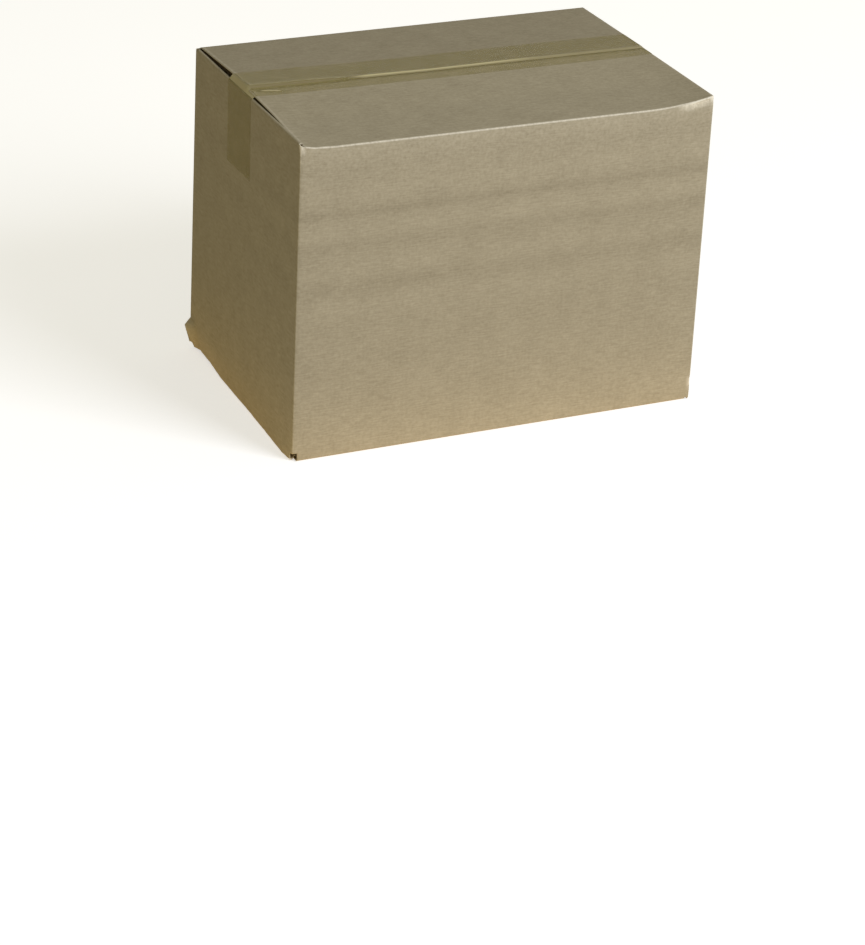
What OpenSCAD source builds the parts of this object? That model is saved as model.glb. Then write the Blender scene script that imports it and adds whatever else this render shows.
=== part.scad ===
// Closed corrugated cardboard box, taped shut.
// A regular slotted carton: one slotted and creased sheet, folded round into four walls,
// glued down one corner, with four top flaps and four bottom flaps folded in.
// The end walls' flaps lie inside, the long walls' flaps lie over them and meet at a seam,
// and a strip of packing tape holds each seam. The top strip also runs down both end walls.
// Frame: origin at the middle of the base, +X along the length, front wall towards -Y, +Z up.

/* [Carton] */
// Outside length, left to right
outer_length = 350; // [310:1:600]
// Outside depth, front to back
outer_depth = 230; // [170:1:280]
// Outside height, from the bottom flaps to the top folds
outer_height = 263; // [170:1:400]
// Thickness of the corrugated board
board_t = 3; // [2:0.1:5]
// Outside radius of the upright folds and of the long walls' folds
fold_r = 2; // [1:0.25:3]
// Outside radius of the end walls' folds
end_fold_r = 1.5; // [0.75:0.25:2]
// How far the end walls' folds stand inside the long walls' folds
end_fold_step = 0.4; // [0:0.1:1]
// Room left between an inner flap and the outer flap that lies over it
layer_gap = 0.4; // [0.2:0.1:1]

/* [Flaps and slots] */
// Room between the side of each outer flap and the end wall's fold
slot_clear = 0.4; // [0.2:0.1:4]
// How far the corners' cut tops lie below the top folds
top_slot_stop = 1; // [0.5:0.25:3]
// Height of the open notch at the foot of each corner
bottom_slot_stop = 6; // [2:0.5:12]
// Gap between the two outer flaps at the top seam
top_seam_gap = 2; // [1:0.5:6]
// Gap between the two outer flaps at the bottom seam
bottom_seam_gap = 2; // [1:0.5:6]
// How far the top seam lies behind the middle
top_seam_shift = 6; // [-12:1:12]
// How far the front top flap springs up at the seam
front_flap_rise = 1; // [0:0.25:6]
// How far the back top flap springs up at the seam
back_flap_rise = 4.5; // [0:0.25:6]

/* [Open flutes at the cut edges] */
// Thickness of each facing of the board
liner_t = 0.45; // [0.3:0.05:0.8]
// Thickness of the wavy sheet between the facings
medium_t = 0.25; // [0.15:0.05:0.5]
// Distance from one flute to the next
flute_pitch = 6.4; // [5:0.2:9]
// Depth of the flute mouths at the seams
flute_mouth_depth = 6; // [2:0.5:12]
// Depth of the open flute along each flap's side
side_groove_depth = 1.5; // [0.5:0.25:3]

/* [Glued corner] */
// Width of the glue tab inside the back wall
tab_w = 35; // [20:1:50]
// Slope cut off each end of the tab
tab_taper = 10; // [4:1:20]
// How far the back wall's cut edge stands back from the right end wall
joint_gap = 1; // [0.5:0.25:2]
// Clear height between the tab and the inner flaps
tab_clear = 1.5; // [0.5:0.5:6]

/* [Crushed corner] */
// How far the back left corner is knocked outwards near its foot
crush_out = 6.5; // [1:0.5:8]
// Height of the outermost point of the crushed corner
crush_tip_z = 19; // [13:0.5:24]
// Height at which the corner is straight again
crush_top = 27; // [25:1:40]
// How far along each wall the crush reaches
crush_reach = 18; // [12:1:40]

/* [Tape] */
// Width of the tape
tape_w = 50; // [25:1:75]
// Thickness of the tape
tape_t = 0.1; // [0.05:0.05:0.3]
// Room for the adhesive between the tape and the board
adhesive_t = 0.05; // [0.02:0.01:0.1]
// How far the tape's middle lies behind the top seam
tape_shift = 8; // [-10:1:10]
// Length of the tape down each end wall, from the top folds
tape_tail = 68; // [30:1:100]
// How far the bottom strip stops short of the flaps' ends
bottom_tape_margin = 1; // [0:0.5:20]

/* [Hidden] */
$fn = 64;
kraft = "#a8987c";
tape_tan = "#8f8259";

half_l = outer_length / 2;
half_d = outer_depth / 2;
// The bottom strip lies under the carton, so the carton stands on it
base_z = tape_t + adhesive_t;
// All creases are scored in one line, so an inner flap dips steeply to lie under the outer flaps
step_z = board_t + layer_gap;
dip_angle = 70;
dip_drop = step_z - end_fold_step - end_fold_r * (1 - cos(dip_angle));
dip_end = end_fold_r * (1 + sin(dip_angle)) + dip_drop / tan(dip_angle);
// Every slot is cut as wide as the end walls' folds need
inset = dip_end + slot_clear;
flap_span = outer_length - 2 * inset;
// At the glued corner the right end wall folds inside the back wall
joint_end_y = half_d - board_t - fold_r;
core_t = board_t - 2 * liner_t;
// A flap starts at the centre of its fold, and ends at its seam
front_flap = half_d + top_seam_shift - top_seam_gap / 2 - fold_r;
back_flap = half_d - top_seam_shift - top_seam_gap / 2 - fold_r;
bottom_flap = half_d - bottom_seam_gap / 2 - fold_r;
// All flaps are cut to one length, and an inner flap's dip takes some of it
inner_reach = fold_r + bottom_flap - (step_z - end_fold_step);
front_tilt = asin(front_flap_rise / front_flap);
back_tilt = asin(back_flap_rise / back_flap);
seam_front_y = -half_d + fold_r + front_flap * cos(front_tilt) - fold_r * sin(front_tilt);
seam_back_y = half_d - fold_r - back_flap * cos(back_tilt) + fold_r * sin(back_tilt);
tape_mid_y = top_seam_shift + tape_shift;
// The lines along which the top strip bends: its two edges and the two flaps' ends
tape_lines = [
    tape_mid_y - tape_w / 2,
    seam_front_y,
    seam_back_y,
    tape_mid_y + tape_w / 2
];
// Flats with which the tape goes round each end wall's fold
bends = 4;
// Flats in each of the flaps' folds
fold_flats = 8;

// Points along an arc from one angle to another
function arc_points(centre, radius, from_angle, to_angle) = [
    for (k = [0 : fold_flats])
        let (angle = from_angle + (to_angle - from_angle) * k / fold_flats)
        centre + radius * [cos(angle), sin(angle)]
];

// A point of a flap that is tilted about the centre of its fold
function on_flap(centre, tilt, along, up) =
    centre + [along * cos(tilt) - up * sin(tilt), along * sin(tilt) + up * cos(tilt)];

// A long wall with its two flaps, seen along the creases: outer face at x = 0, foot at y = 0.
// A fold is round outside and sharp inside, where the scored board is crushed.
module long_profile(top_length, top_tilt, bottom_length) {
    foot = [fold_r, fold_r];
    head = [fold_r, outer_height - fold_r];
    inner_up = fold_r - board_t;
    corner_along = (board_t - fold_r) * (1 - sin(top_tilt)) / cos(top_tilt);
    polygon(concat(
        [[fold_r + bottom_length, 0]],
        arc_points(foot, fold_r, 270, 180),
        arc_points(head, fold_r, 180, 90 + top_tilt),
        [
            on_flap(head, top_tilt, top_length, fold_r),
            on_flap(head, top_tilt, top_length, inner_up),
            on_flap(head, top_tilt, corner_along, inner_up),
            [board_t, board_t],
            [fold_r + bottom_length, board_t]
        ]
    ));
}

function reversed(list) = [for (i = [len(list) - 1 : -1 : 0]) list[i]];

// An end wall with its two flaps, in the same position: round over each fold, then down the dip
module end_profile() {
    head = [end_fold_r, outer_height - end_fold_step - end_fold_r];
    over = concat(
        arc_points(head, end_fold_r, 180, 90 - dip_angle),
        [[dip_end, outer_height - step_z]]
    );
    polygon(concat(
        [[inner_reach, step_z]],
        [for (p = reversed(over)) [p[0], outer_height - p[1]]],
        over,
        [
            [inner_reach, outer_height - step_z],
            [inner_reach, outer_height - step_z - board_t],
            [board_t, outer_height - step_z - board_t],
            [board_t, step_z + board_t],
            [inner_reach, step_z + board_t]
        ]
    ));
}

// The flute that a flap's side cut leaves open, from one distance along the flap to another
module side_groove(start, end, span) {
    for (side = [0, 1])
        translate([start, liner_t, side * (span - side_groove_depth) - (1 - side)])
            cube([end - start + 1, core_t, side_groove_depth + 1]);
}

// The mouths of the flutes at a flap's free edge: an arch on each facing for every flute
module flute_mouths(flap_length, span) {
    arch = core_t - medium_t;
    foot = 0.4 * flute_pitch;
    crown = 0.1 * flute_pitch;
    count = floor((span - 2 * side_groove_depth) / flute_pitch) - 1;
    start = (span - count * flute_pitch) / 2;
    outline = [[-foot, 0], [-crown, arch], [crown, arch], [foot, 0]];
    translate([flap_length - flute_mouth_depth, liner_t, span]) rotate([0, 90, 0])
        linear_extrude(flute_mouth_depth + 1)
            for (i = [0 : count - 1]) {
                translate([start + (i + 0.25) * flute_pitch, 0]) polygon(outline);
                translate([start + (i + 0.75) * flute_pitch, core_t]) mirror([0, 1]) polygon(outline);
            }
}

// A long wall with its outer flaps; x is the way in, y is up, and z runs along the creases
module long_wall(top_length, top_tilt) {
    inner_up = fold_r - board_t;
    groove_start = board_t;
    difference() {
        linear_extrude(flap_span) long_profile(top_length, top_tilt, bottom_flap);
        translate([fold_r, outer_height - fold_r, 0]) rotate([0, 0, top_tilt]) translate([0, inner_up, 0]) {
            side_groove(groove_start, top_length, flap_span);
            flute_mouths(top_length, flap_span);
        }
        translate([fold_r, board_t, 0]) mirror([0, 1, 0]) {
            side_groove(groove_start, bottom_flap, flap_span);
            flute_mouths(bottom_flap, flap_span);
        }
    }
}

// An end wall with its inner flaps, in the same position as a long wall
module end_wall(span) {
    groove_start = dip_end + board_t;
    difference() {
        linear_extrude(span) end_profile();
        for (low = [step_z, outer_height - step_z - board_t])
            translate([0, low, 0]) side_groove(groove_start, inner_reach, span);
    }
}

// The plan of one upright fold: the end of each wall up to its slots, with the corner rounded off
module corner_plan() {
    difference() {
        square(inset);
        translate([board_t, board_t]) square(inset);
        difference() {
            square(fold_r);
            translate([fold_r, fold_r]) circle(fold_r);
        }
    }
}

// The plan of the corners, where the walls stand by themselves above and below the slots
module corners_plan() {
    translate([-half_l, -half_d]) corner_plan();
    translate([half_l, -half_d]) mirror([1, 0]) corner_plan();
    translate([-half_l, half_d]) mirror([0, 1]) corner_plan();
    // At the glued corner the back wall ends in a cut edge
    translate([half_l - inset, half_d - board_t]) square([inset - joint_gap, board_t]);
}

// The tab that folds from the right end wall and is glued inside the back wall
module glue_tab() {
    low = 2 * step_z + tab_clear;
    high = outer_height - 2 * step_z - tab_clear;
    translate([half_l, half_d - board_t, low])
        linear_extrude(high - low) mirror([1, 1]) intersection() {
            corner_plan();
            square(board_t);
        }
    translate([half_l - board_t, half_d - board_t, 0]) rotate([90, 0, 0])
        linear_extrude(board_t)
            polygon([
                [0, low],
                [0, high],
                [board_t - tab_w, high - tab_taper],
                [board_t - tab_w, low + tab_taper]
            ]);
}

// The space that the crushed corner's outside bounds
module crushed_block() {
    low = 2 * step_z + 1;
    round_in = fold_r * (1 - cos(45));
    hull() {
        translate([0, 0, low]) linear_extrude(crush_top - low)
            polygon([
                [-half_l, half_d - crush_reach],
                [-half_l + round_in, half_d - round_in],
                [-half_l + crush_reach, half_d]
            ]);
        translate([-half_l - crush_out + 1, half_d - 1, crush_tip_z])
            cylinder(r = 1, h = 1, center = true, $fn = 16);
    }
}

// The open flute down the back wall's cut edge, at the glued corner
module joint_groove() {
    translate([half_l - joint_gap - side_groove_depth, half_d - board_t + liner_t, bottom_slot_stop - 1])
        cube([side_groove_depth + 1, core_t, outer_height]);
}

// The whole sheet, folded and glued: one solid
module carton() {
    end_span = outer_depth - 2 * inset;
    color(kraft) translate([0, 0, base_z]) {
        difference() {
            union() {
                translate([0, 0, bottom_slot_stop])
                    linear_extrude(outer_height - top_slot_stop - bottom_slot_stop) corners_plan();
                translate([-half_l + inset, -half_d, 0]) rotate([90, 0, 90])
                    long_wall(front_flap, front_tilt);
                mirror([0, 1, 0]) translate([-half_l + inset, -half_d, 0]) rotate([90, 0, 90])
                    long_wall(back_flap, back_tilt);
                translate([-half_l, half_d - inset, 0]) rotate([90, 0, 0]) end_wall(end_span);
                mirror([1, 0, 0]) translate([-half_l, joint_end_y, 0]) rotate([90, 0, 0])
                    end_wall(joint_end_y + half_d - inset);
                crushed_block();
            }
            translate([board_t, -board_t, 0]) crushed_block();
            joint_groove();
        }
        glue_tab();
    }
}

// Height of the top flaps' outer faces above the carton's foot, at a distance behind the middle
function flap_top(y) =
    let (
        front_edge = outer_height - fold_r + front_flap * sin(front_tilt) + fold_r * cos(front_tilt),
        back_edge = outer_height - fold_r + back_flap * sin(back_tilt) + fold_r * cos(back_tilt)
    )
    y <= seam_front_y ? front_edge - (seam_front_y - y) * tan(front_tilt)
    : y >= seam_back_y ? back_edge - (y - seam_back_y) * tan(back_tilt)
    : front_edge + (back_edge - front_edge) * (y - seam_front_y) / (seam_back_y - seam_front_y);

// Centre of the left end wall's top fold, as [x, z]
fold_centre = [-half_l + end_fold_r, outer_height - end_fold_step - end_fold_r];

// Where the tape, at a distance off the board, reaches the left end of a flap, as [x, z]
function tape_lip(y, off) = [-half_l + inset - off / 2, flap_top(y) + off];

// Where a tape that runs straight to the flap's end would leave the round fold, from upright
function leaving_angle(y, off) =
    let (rise = tape_lip(y, off) - fold_centre)
    acos((end_fold_r + off) / norm(rise)) - atan2(rise[0], rise[1]);

// Where the tape's left half runs, from the foot of its tail to the flaps' ends, as [x, z].
// Its flats touch the end wall's round fold as far as the lowest flap needs, and from there
// it runs straight to the end of the flap that stands above.
function tape_path(y, off) =
    let (
        leave = min([for (line = tape_lines) leaving_angle(line, off)]),
        turn = (90 - leave) / bends,
        corner_r = (end_fold_r + off) / cos(turn / 2)
    )
    [
        [-half_l - off, outer_height - tape_tail],
        for (k = [0 : bends - 1])
            let (angle = 90 - (k + 0.5) * turn)
            fold_centre + corner_r * [-sin(angle), cos(angle)],
        tape_lip(y, off)
    ];

// The strip over the top seam and down both ends: a thin closed sheet swept along the path
module top_tape() {
    columns = len(tape_lines);
    stations = 2 * len(tape_path(0, 0));
    layer = columns * stations;
    points = [
        for (off = [adhesive_t, adhesive_t + tape_t], y = tape_lines)
            let (half = tape_path(y, off))
            for (p = concat(half, [for (q = reversed(half)) [-q[0], q[1]]]))
                [p[0], y, p[1] + base_z]
    ];
    // A quad is given as two triangles, because the strip twists a little at its ends
    under = [
        for (j = [0 : columns - 2], i = [0 : stations - 2])
            let (a = j * stations + i, b = a + 1, c = a + stations, d = c + 1)
            each [[a, b, c], [b, d, c]]
    ];
    over = [for (t = under) [t[0] + layer, t[2] + layer, t[1] + layer]];
    front_edge = [for (i = [0 : stations - 2]) each [[i, i + layer, i + 1], [i + 1, i + layer, i + 1 + layer]]];
    back_edge = [
        for (i = [0 : stations - 2])
            let (a = (columns - 1) * stations + i)
            each [[a, a + 1, a + layer], [a + 1, a + 1 + layer, a + layer]]
    ];
    left_end = [
        for (j = [0 : columns - 2])
            let (a = j * stations, c = a + stations)
            each [[a, c, a + layer], [c, c + layer, a + layer]]
    ];
    right_end = [
        for (j = [0 : columns - 2])
            let (a = (j + 1) * stations - 1, c = a + stations)
            each [[a, a + layer, c], [c, a + layer, c + layer]]
    ];
    color(tape_tan)
        polyhedron(points, concat(under, over, front_edge, back_edge, left_end, right_end), convexity = 4);
}

// The strip over the bottom seam
module bottom_tape() {
    length = flap_span - 2 * bottom_tape_margin;
    color(tape_tan) translate([-length / 2, -tape_w / 2, 0]) cube([length, tape_w, tape_t]);
}

carton();
top_tape();
bottom_tape();
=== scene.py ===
"""A closed corrugated carton, taped shut: its looks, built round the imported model.

One folded sheet of corrugated board makes the four walls, the eight flaps and the glue tab.
A strip of packing tape holds the top seam and runs down both end walls, and a shorter one
holds the bottom seam. Lengths are in metres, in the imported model's own frame: +X along the
carton's length, front wall towards -Y, +Z up, origin at the middle of the base.
"""

from __future__ import annotations

import logging
import math
from dataclasses import dataclass, field
from enum import Enum
from typing import Any, ClassVar

import bpy
import numpy as np
from mathutils import Matrix, Vector


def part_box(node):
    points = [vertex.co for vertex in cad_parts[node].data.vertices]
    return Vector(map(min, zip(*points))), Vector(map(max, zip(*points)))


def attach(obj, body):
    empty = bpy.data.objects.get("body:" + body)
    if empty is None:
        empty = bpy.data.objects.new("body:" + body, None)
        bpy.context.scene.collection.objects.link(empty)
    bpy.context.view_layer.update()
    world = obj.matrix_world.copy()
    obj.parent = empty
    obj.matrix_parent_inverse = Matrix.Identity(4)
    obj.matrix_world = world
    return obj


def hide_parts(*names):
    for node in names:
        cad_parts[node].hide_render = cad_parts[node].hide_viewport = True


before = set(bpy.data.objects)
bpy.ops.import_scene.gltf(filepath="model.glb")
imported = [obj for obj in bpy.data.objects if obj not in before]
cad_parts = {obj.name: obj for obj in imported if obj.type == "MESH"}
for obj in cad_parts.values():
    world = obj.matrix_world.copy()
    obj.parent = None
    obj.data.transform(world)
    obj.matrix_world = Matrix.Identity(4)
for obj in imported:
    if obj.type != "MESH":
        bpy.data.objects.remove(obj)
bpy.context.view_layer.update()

MM = 0.001
log = logging.getLogger("carton")

# Socket numbers of the Mix node when it mixes colours
MIX_FACTOR, MIX_A, MIX_B, MIX_RESULT = 0, 6, 7, 2
# Places closer than this count as the same
NEAR = 0.1 * MM
# A normal with a part above this belongs to a flat wall
FLAT = 0.99
# Most of a noise pattern's values lie between these
NOISE_LOW, NOISE_HIGH = 0.3, 0.7


class Zone(Enum):
    """A stretch of the sheet between two creases. It decides how high a column of cells reaches."""

    TAB = 0
    POST = 1
    LONG = 2
    END = 3


class Fold(Enum):
    """Which part of the folded sheet a point belongs to."""

    WALLS = 0
    FRONT_TOP = 1
    BACK_TOP = 2
    LEFT_TOP = 3
    RIGHT_TOP = 4
    FRONT_FOOT = 5
    BACK_FOOT = 6
    LEFT_FOOT = 7
    RIGHT_FOOT = 8


def linear(hex_code: str) -> tuple[float, float, float, float]:
    """Turns an sRGB hex colour into linear red, green, blue and a full alpha.

    Args:
        hex_code: The colour as six hex digits after a hash.

    Returns:
        Four numbers, each from 0 to 1, by the sRGB curve: a straight foot and a power of 2.4.
    """
    values = [int(hex_code[i : i + 2], 16) / 255 for i in (1, 3, 5)]
    curve = [v / 12.92 if v <= 0.04045 else ((v + 0.055) / 1.055) ** 2.4 for v in values]
    return (curve[0], curve[1], curve[2], 1.0)


def add_node(
    tree: bpy.types.NodeTree, kind: str, inputs: dict[int | str, Any] | None = None, **settings: Any
) -> bpy.types.Node:
    """Adds one node to a tree, with its settings, socket values and links.

    Args:
        tree: The node tree.
        kind: The node's type, without the words ShaderNode in front.
        inputs: For each socket, by name or number, a value, the output socket that feeds it,
            or the node whose first output does.
        settings: The node's own settings, by name.

    Returns:
        The new node.
    """
    node = tree.nodes.new("ShaderNode" + kind)
    for name, value in settings.items():
        setattr(node, name, value)
    for socket, value in (inputs or {}).items():
        if isinstance(value, bpy.types.Node):
            value = value.outputs[0]
        if isinstance(value, bpy.types.NodeSocket):
            tree.links.new(value, node.inputs[socket])
        else:
            node.inputs[socket].default_value = value
    return node


def new_material(name: str) -> tuple[bpy.types.Material, bpy.types.NodeTree]:
    """Makes an empty node material.

    Args:
        name: The material's name.

    Returns:
        The material and its cleared node tree.
    """
    material = bpy.data.materials.new(name)
    material.use_nodes = True
    material.node_tree.nodes.clear()
    return material, material.node_tree


def part_way(value: np.ndarray | float, start: float, end: float) -> np.ndarray:
    """How far a value has come from start to end, along a straight line: 0 at start, 1 at end."""
    return np.clip((value - start) / (end - start), 0.0, 1.0)


def fade_in(value: np.ndarray | float, start: float, end: float) -> np.ndarray:
    """An eased step from 0 at start to 1 at end: 3 s squared less 2 s cubed, of the part s gone."""
    s = part_way(value, start, end)
    return s * s * (3 - 2 * s)


def bump(distance: np.ndarray, width: np.ndarray | float) -> np.ndarray:
    """A round bump: 1 at distance 0, falling as e to the minus (distance over width) squared."""
    return np.exp(-((distance / width) ** 2))


def eased(start: float, end: float, cells: int, tighter: float = 0.6) -> np.ndarray:
    """Stations from start to end that lie closer together near both ends.

    Args:
        start: The first station.
        end: The last station.
        cells: How many steps there are.
        tighter: By what share the steps at the ends are shorter than the mean one.

    Returns:
        cells + 1 stations: the even share s, less tighter times sin(2 pi s) over 2 pi.
    """
    s = np.arange(cells + 1) / cells
    return start + (end - start) * (s - tighter * np.sin(2 * np.pi * s) / (2 * np.pi))


def straight_line(x: np.ndarray, places: tuple[float, ...], values: tuple[float, ...]) -> np.ndarray:
    """A line through known values, both given in mm, that runs straight between them."""
    return np.interp(x, np.array(places) * MM, np.array(values) * MM)


def eased_line(x: np.ndarray, places: tuple[float, ...], values: tuple[float, ...]) -> np.ndarray:
    """A smooth line through known values: from each to the next it follows an eased step.

    Args:
        x: Where the line is wanted, in metres.
        places: Where it is known, in mm, in rising order.
        values: Its values there, in mm.

    Returns:
        The line's values, in metres.
    """
    known_x, known = np.array(places) * MM, np.array(values) * MM
    cell = np.clip(np.searchsorted(known_x, x) - 1, 0, len(known_x) - 2)
    return known[cell] + (known[cell + 1] - known[cell]) * fade_in(x, known_x[cell], known_x[cell + 1])


def wander(along: np.ndarray, wave: float, seed: int) -> np.ndarray:
    """A smooth uneven line: four sines of unlike length and phase, from about -1 to 1.

    Args:
        along: Where along the line each value is wanted.
        wave: The longest wave's length.
        seed: Picks the phases.

    Returns:
        The sum of the sines, whose heights fall as their waves get shorter.
    """
    phases = np.random.default_rng(seed).uniform(0, 2 * np.pi, 4)
    shorter = np.array([1.0, 1.7, 2.9, 4.3])
    heights = np.array([0.45, 0.3, 0.17, 0.08])
    return (heights * np.sin(2 * np.pi * along[..., None] * shorter / wave + phases)).sum(-1)


def grid_cells(number: np.ndarray) -> np.ndarray:
    """The cells of a grid of point numbers: for each, its four corners in turn."""
    return np.stack([number[:-1, :-1], number[1:, :-1], number[1:, 1:], number[:-1, 1:]], -1)


def make_piece(
    name: str,
    points: np.ndarray,
    quads: np.ndarray,
    uv: np.ndarray,
    finishes: list[bpy.types.Material],
    second: np.ndarray,
    flat: np.ndarray,
    values: dict[str, np.ndarray],
) -> bpy.types.Object:
    """Puts a worked-out surface into a mesh object at the origin.

    Args:
        name: The piece's name.
        points: Places of the points, one row each.
        quads: Point numbers of the faces, four in a row, turning left seen from outside.
        uv: The flat sheet's coordinates at each point, in metres.
        finishes: The materials, one or two.
        second: For each face, whether it has the second material.
        flat: For each face, whether it is shaded flat.
        values: Named numbers at the points, which the materials read.

    Returns:
        The object, linked to the scene.
    """
    mesh = bpy.data.meshes.new(name)
    mesh.vertices.add(len(points))
    mesh.vertices.foreach_set("co", points.astype(np.float32).ravel())
    mesh.loops.add(quads.size)
    mesh.loops.foreach_set("vertex_index", quads.astype(np.int32).ravel())
    mesh.polygons.add(len(quads))
    mesh.polygons.foreach_set("loop_start", np.arange(0, quads.size, 4, dtype=np.int32))
    mesh.polygons.foreach_set("material_index", second.astype(np.int32))
    layer = mesh.uv_layers.new(name="sheet")
    layer.data.foreach_set("uv", uv[quads.ravel()].astype(np.float32).ravel())
    for key, value in values.items():
        mesh.attributes.new(key, "FLOAT", "POINT").data.foreach_set("value", value.astype(np.float32))
    mesh.update(calc_edges=True)
    mesh.validate()
    mesh.attributes.new("sharp_face", "BOOLEAN", "FACE").data.foreach_set("value", flat)
    for finish in finishes:
        mesh.materials.append(finish)
    piece = bpy.data.objects.new(name, mesh)
    bpy.context.scene.collection.objects.link(piece)
    return piece


def report(piece: bpy.types.Object) -> None:
    """Logs a piece's triangles and its size in millimetres.

    Args:
        piece: The piece.
    """
    piece.data.calc_loop_triangles()
    size = " x ".join(f"{side / MM:.1f}" for side in piece.dimensions)
    log.info("%s: %d triangles, %s mm", piece.name, len(piece.data.loop_triangles), size)


@dataclass(frozen=True)
class KraftLinerboard:
    """Unbleached kraft linerboard, rolled and uncoated: matt, cloudy brown paper.

    Gives the eye: a soft mottle from uneven fibre, streaks along the paper's run, a trace of
    the flutes below, crossways light and dark bands, partly in the paper's colour and partly
    painted shade of slight waves that rollers left in the sheet, and pale broken fibres along
    the creases, with a painted highlight on them.
    """

    name: str = "kraft_linerboard"
    dark: str = "#857c67"
    light: str = "#b3aa94"
    # The creases' pale colour: broken fibres, with a painted highlight on them
    creased_and_highlit: str = "#e4dece"
    ior: float = 1.5
    specular: float = 0.12
    roughness: float = 0.8
    cloud: float = 22 * MM
    mottle: float = 2.6 * MM
    # Single fibres are 0.03 mm wide, too fine to show, so the streaks are bundles of them
    streak_length: float = 11 * MM
    streak_width: float = 1.1 * MM
    # A flute's crest and its hollow each leave a trace, so two come in a pitch of 6.4 mm
    trace_pitch: float = 3.2 * MM
    band_reach: float = 150 * MM
    # The bands fade in and out in patches of this length and height, between these strengths
    patch_length: float = 71.43 * MM
    patch_height: float = 14.286 * MM
    faint: float = 0.45
    strong: float = 0.75
    # What each pattern adds to the tone
    cloud_share: float = 0.34
    mottle_share: float = 0.65
    streak_share: float = 0.85
    trace_share: float = 0.02
    band_share: float = 0.95
    # Creases are pale, from broken fibres and a painted highlight, from this strength, and wholly where the
    # mottle's noise passes this value
    least_pale: float = 0.45
    fully_pale: float = 0.65
    fibre_relief: float = 0.12 * MM
    trace_relief: float = 0.012 * MM

    # How far below the top fold each band of paper colour and painted shade lies, in mm, and how light it is
    # about 0.5
    BANDS: ClassVar[tuple[tuple[float, float], ...]] = (
        (0, 0.5), (19.5, 0.36), (29, 0.5), (38.5, 0.62), (48, 0.5), (55.5, 0.24), (62, 0.55), (71, 0.66),
        (82, 0.36), (92, 0.52), (102, 0.62), (116, 0.4), (131, 0.6), (150, 0.5),
    )

    def make(self, top: float) -> bpy.types.Material:
        """Builds the material.

        Args:
            top: Height of the top folds, below which the bands are measured.

        Returns:
            The material. It reads the sheet's UV map and the points' crease, banding and painted light.
        """
        material, tree = new_material(self.name)
        place = add_node(tree, "TexCoord").outputs["Object"]
        sheet = add_node(tree, "UVMap", uv_map="sheet")
        crease, banding, painted_light = [
            add_node(tree, "Attribute", attribute_name=key).outputs["Fac"]
            for key in ("crease", "banding", "tone_with_painted_light")]

        cloud = add_node(tree, "TexNoise", {"Vector": place, "Scale": 1 / self.cloud, "Detail": 3.0,
                                            "Roughness": 0.55})
        mottle = add_node(tree, "TexNoise", {"Vector": place, "Scale": 1 / self.mottle, "Detail": 4.0,
                                             "Roughness": 0.65})
        run = add_node(tree, "Mapping", {"Vector": sheet,
                                         "Scale": (1 / self.streak_length, 1 / self.streak_width, 1.0)})
        streaks = add_node(tree, "TexNoise", {"Vector": run, "Scale": 1.0, "Detail": 3.0, "Roughness": 0.6})
        trace = add_node(tree, "TexWave", {"Vector": sheet, "Scale": math.pi / 10 / self.trace_pitch,
                                           "Distortion": 0.0}).outputs["Fac"]

        # The bands follow the height below the top fold, and fade in and out along the wall
        split = add_node(tree, "SeparateXYZ", {0: place})
        depth = add_node(tree, "MapRange", {"Value": split.outputs["Z"], "From Min": top,
                                            "From Max": top - self.band_reach})
        bands = add_node(tree, "ValToRGB", {"Fac": depth})
        bands.color_ramp.interpolation = "EASE"
        stops = bands.color_ramp.elements
        while len(stops) < len(self.BANDS):
            stops.new(1.0)
        for stop, (below, grey) in zip(stops, self.BANDS):
            stop.position = below * MM / self.band_reach
            stop.color = (grey, grey, grey, 1.0)
        patches = add_node(tree, "Mapping", {
            "Vector": place, "Scale": (1 / self.patch_length, 1 / self.patch_length, 1 / self.patch_height)})
        uneven = add_node(tree, "TexNoise", {"Vector": patches, "Scale": 1.0, "Detail": 2.0})
        fading = add_node(tree, "MapRange", {"Value": uneven, "From Min": NOISE_LOW, "From Max": NOISE_HIGH,
                                             "To Min": self.faint, "To Max": self.strong})
        band = add_node(tree, "Math", {0: bands, 1: 0.5}, operation="SUBTRACT")
        faded = add_node(tree, "Math", {0: band, 1: fading}, operation="MULTIPLY")
        # The bands are partly the paper's colour and partly painted shade of the wall's slight waves, and show
        # most where the wall faces the front
        band_colour_and_shade = add_node(tree, "Math", {0: faded, 1: banding}, operation="MULTIPLY")

        # Each pattern adds its share to a tone that runs from the dark paper to the light one
        shares = [(cloud, self.cloud_share), (mottle, self.mottle_share), (streaks, self.streak_share),
                  (trace, self.trace_share), (band_colour_and_shade, self.band_share)]
        tone_with_painted_light: Any = 0.5 - sum(share for _, share in shares[:-1]) / 2
        for pattern, share in shares:
            tone_with_painted_light = add_node(tree, "Math", {0: pattern, 1: share, 2: tone_with_painted_light}, operation="MULTIPLY_ADD")
        plain = add_node(tree, "Mix", {MIX_FACTOR: tone_with_painted_light, MIX_A: linear(self.dark), MIX_B: linear(self.light)},
                         data_type="RGBA")
        # The points' painted light and shade scale the paper's colour
        paper = add_node(tree, "VectorMath", {0: plain.outputs[MIX_RESULT], "Scale": painted_light},
                         operation="SCALE")

        # Broken fibres and a painted highlight whiten the creases in patches
        patchy = add_node(tree, "MapRange", {"Value": mottle, "From Min": NOISE_LOW, "To Max": 1.0,
                                             "From Max": self.fully_pale, "To Min": self.least_pale})
        worn_and_highlit = add_node(tree, "Math", {0: crease, 1: patchy}, operation="MULTIPLY", use_clamp=True)
        surface = add_node(tree, "Mix", {MIX_FACTOR: worn_and_highlit, MIX_A: paper, MIX_B: linear(self.creased_and_highlit)},
                           data_type="RGBA")

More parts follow.
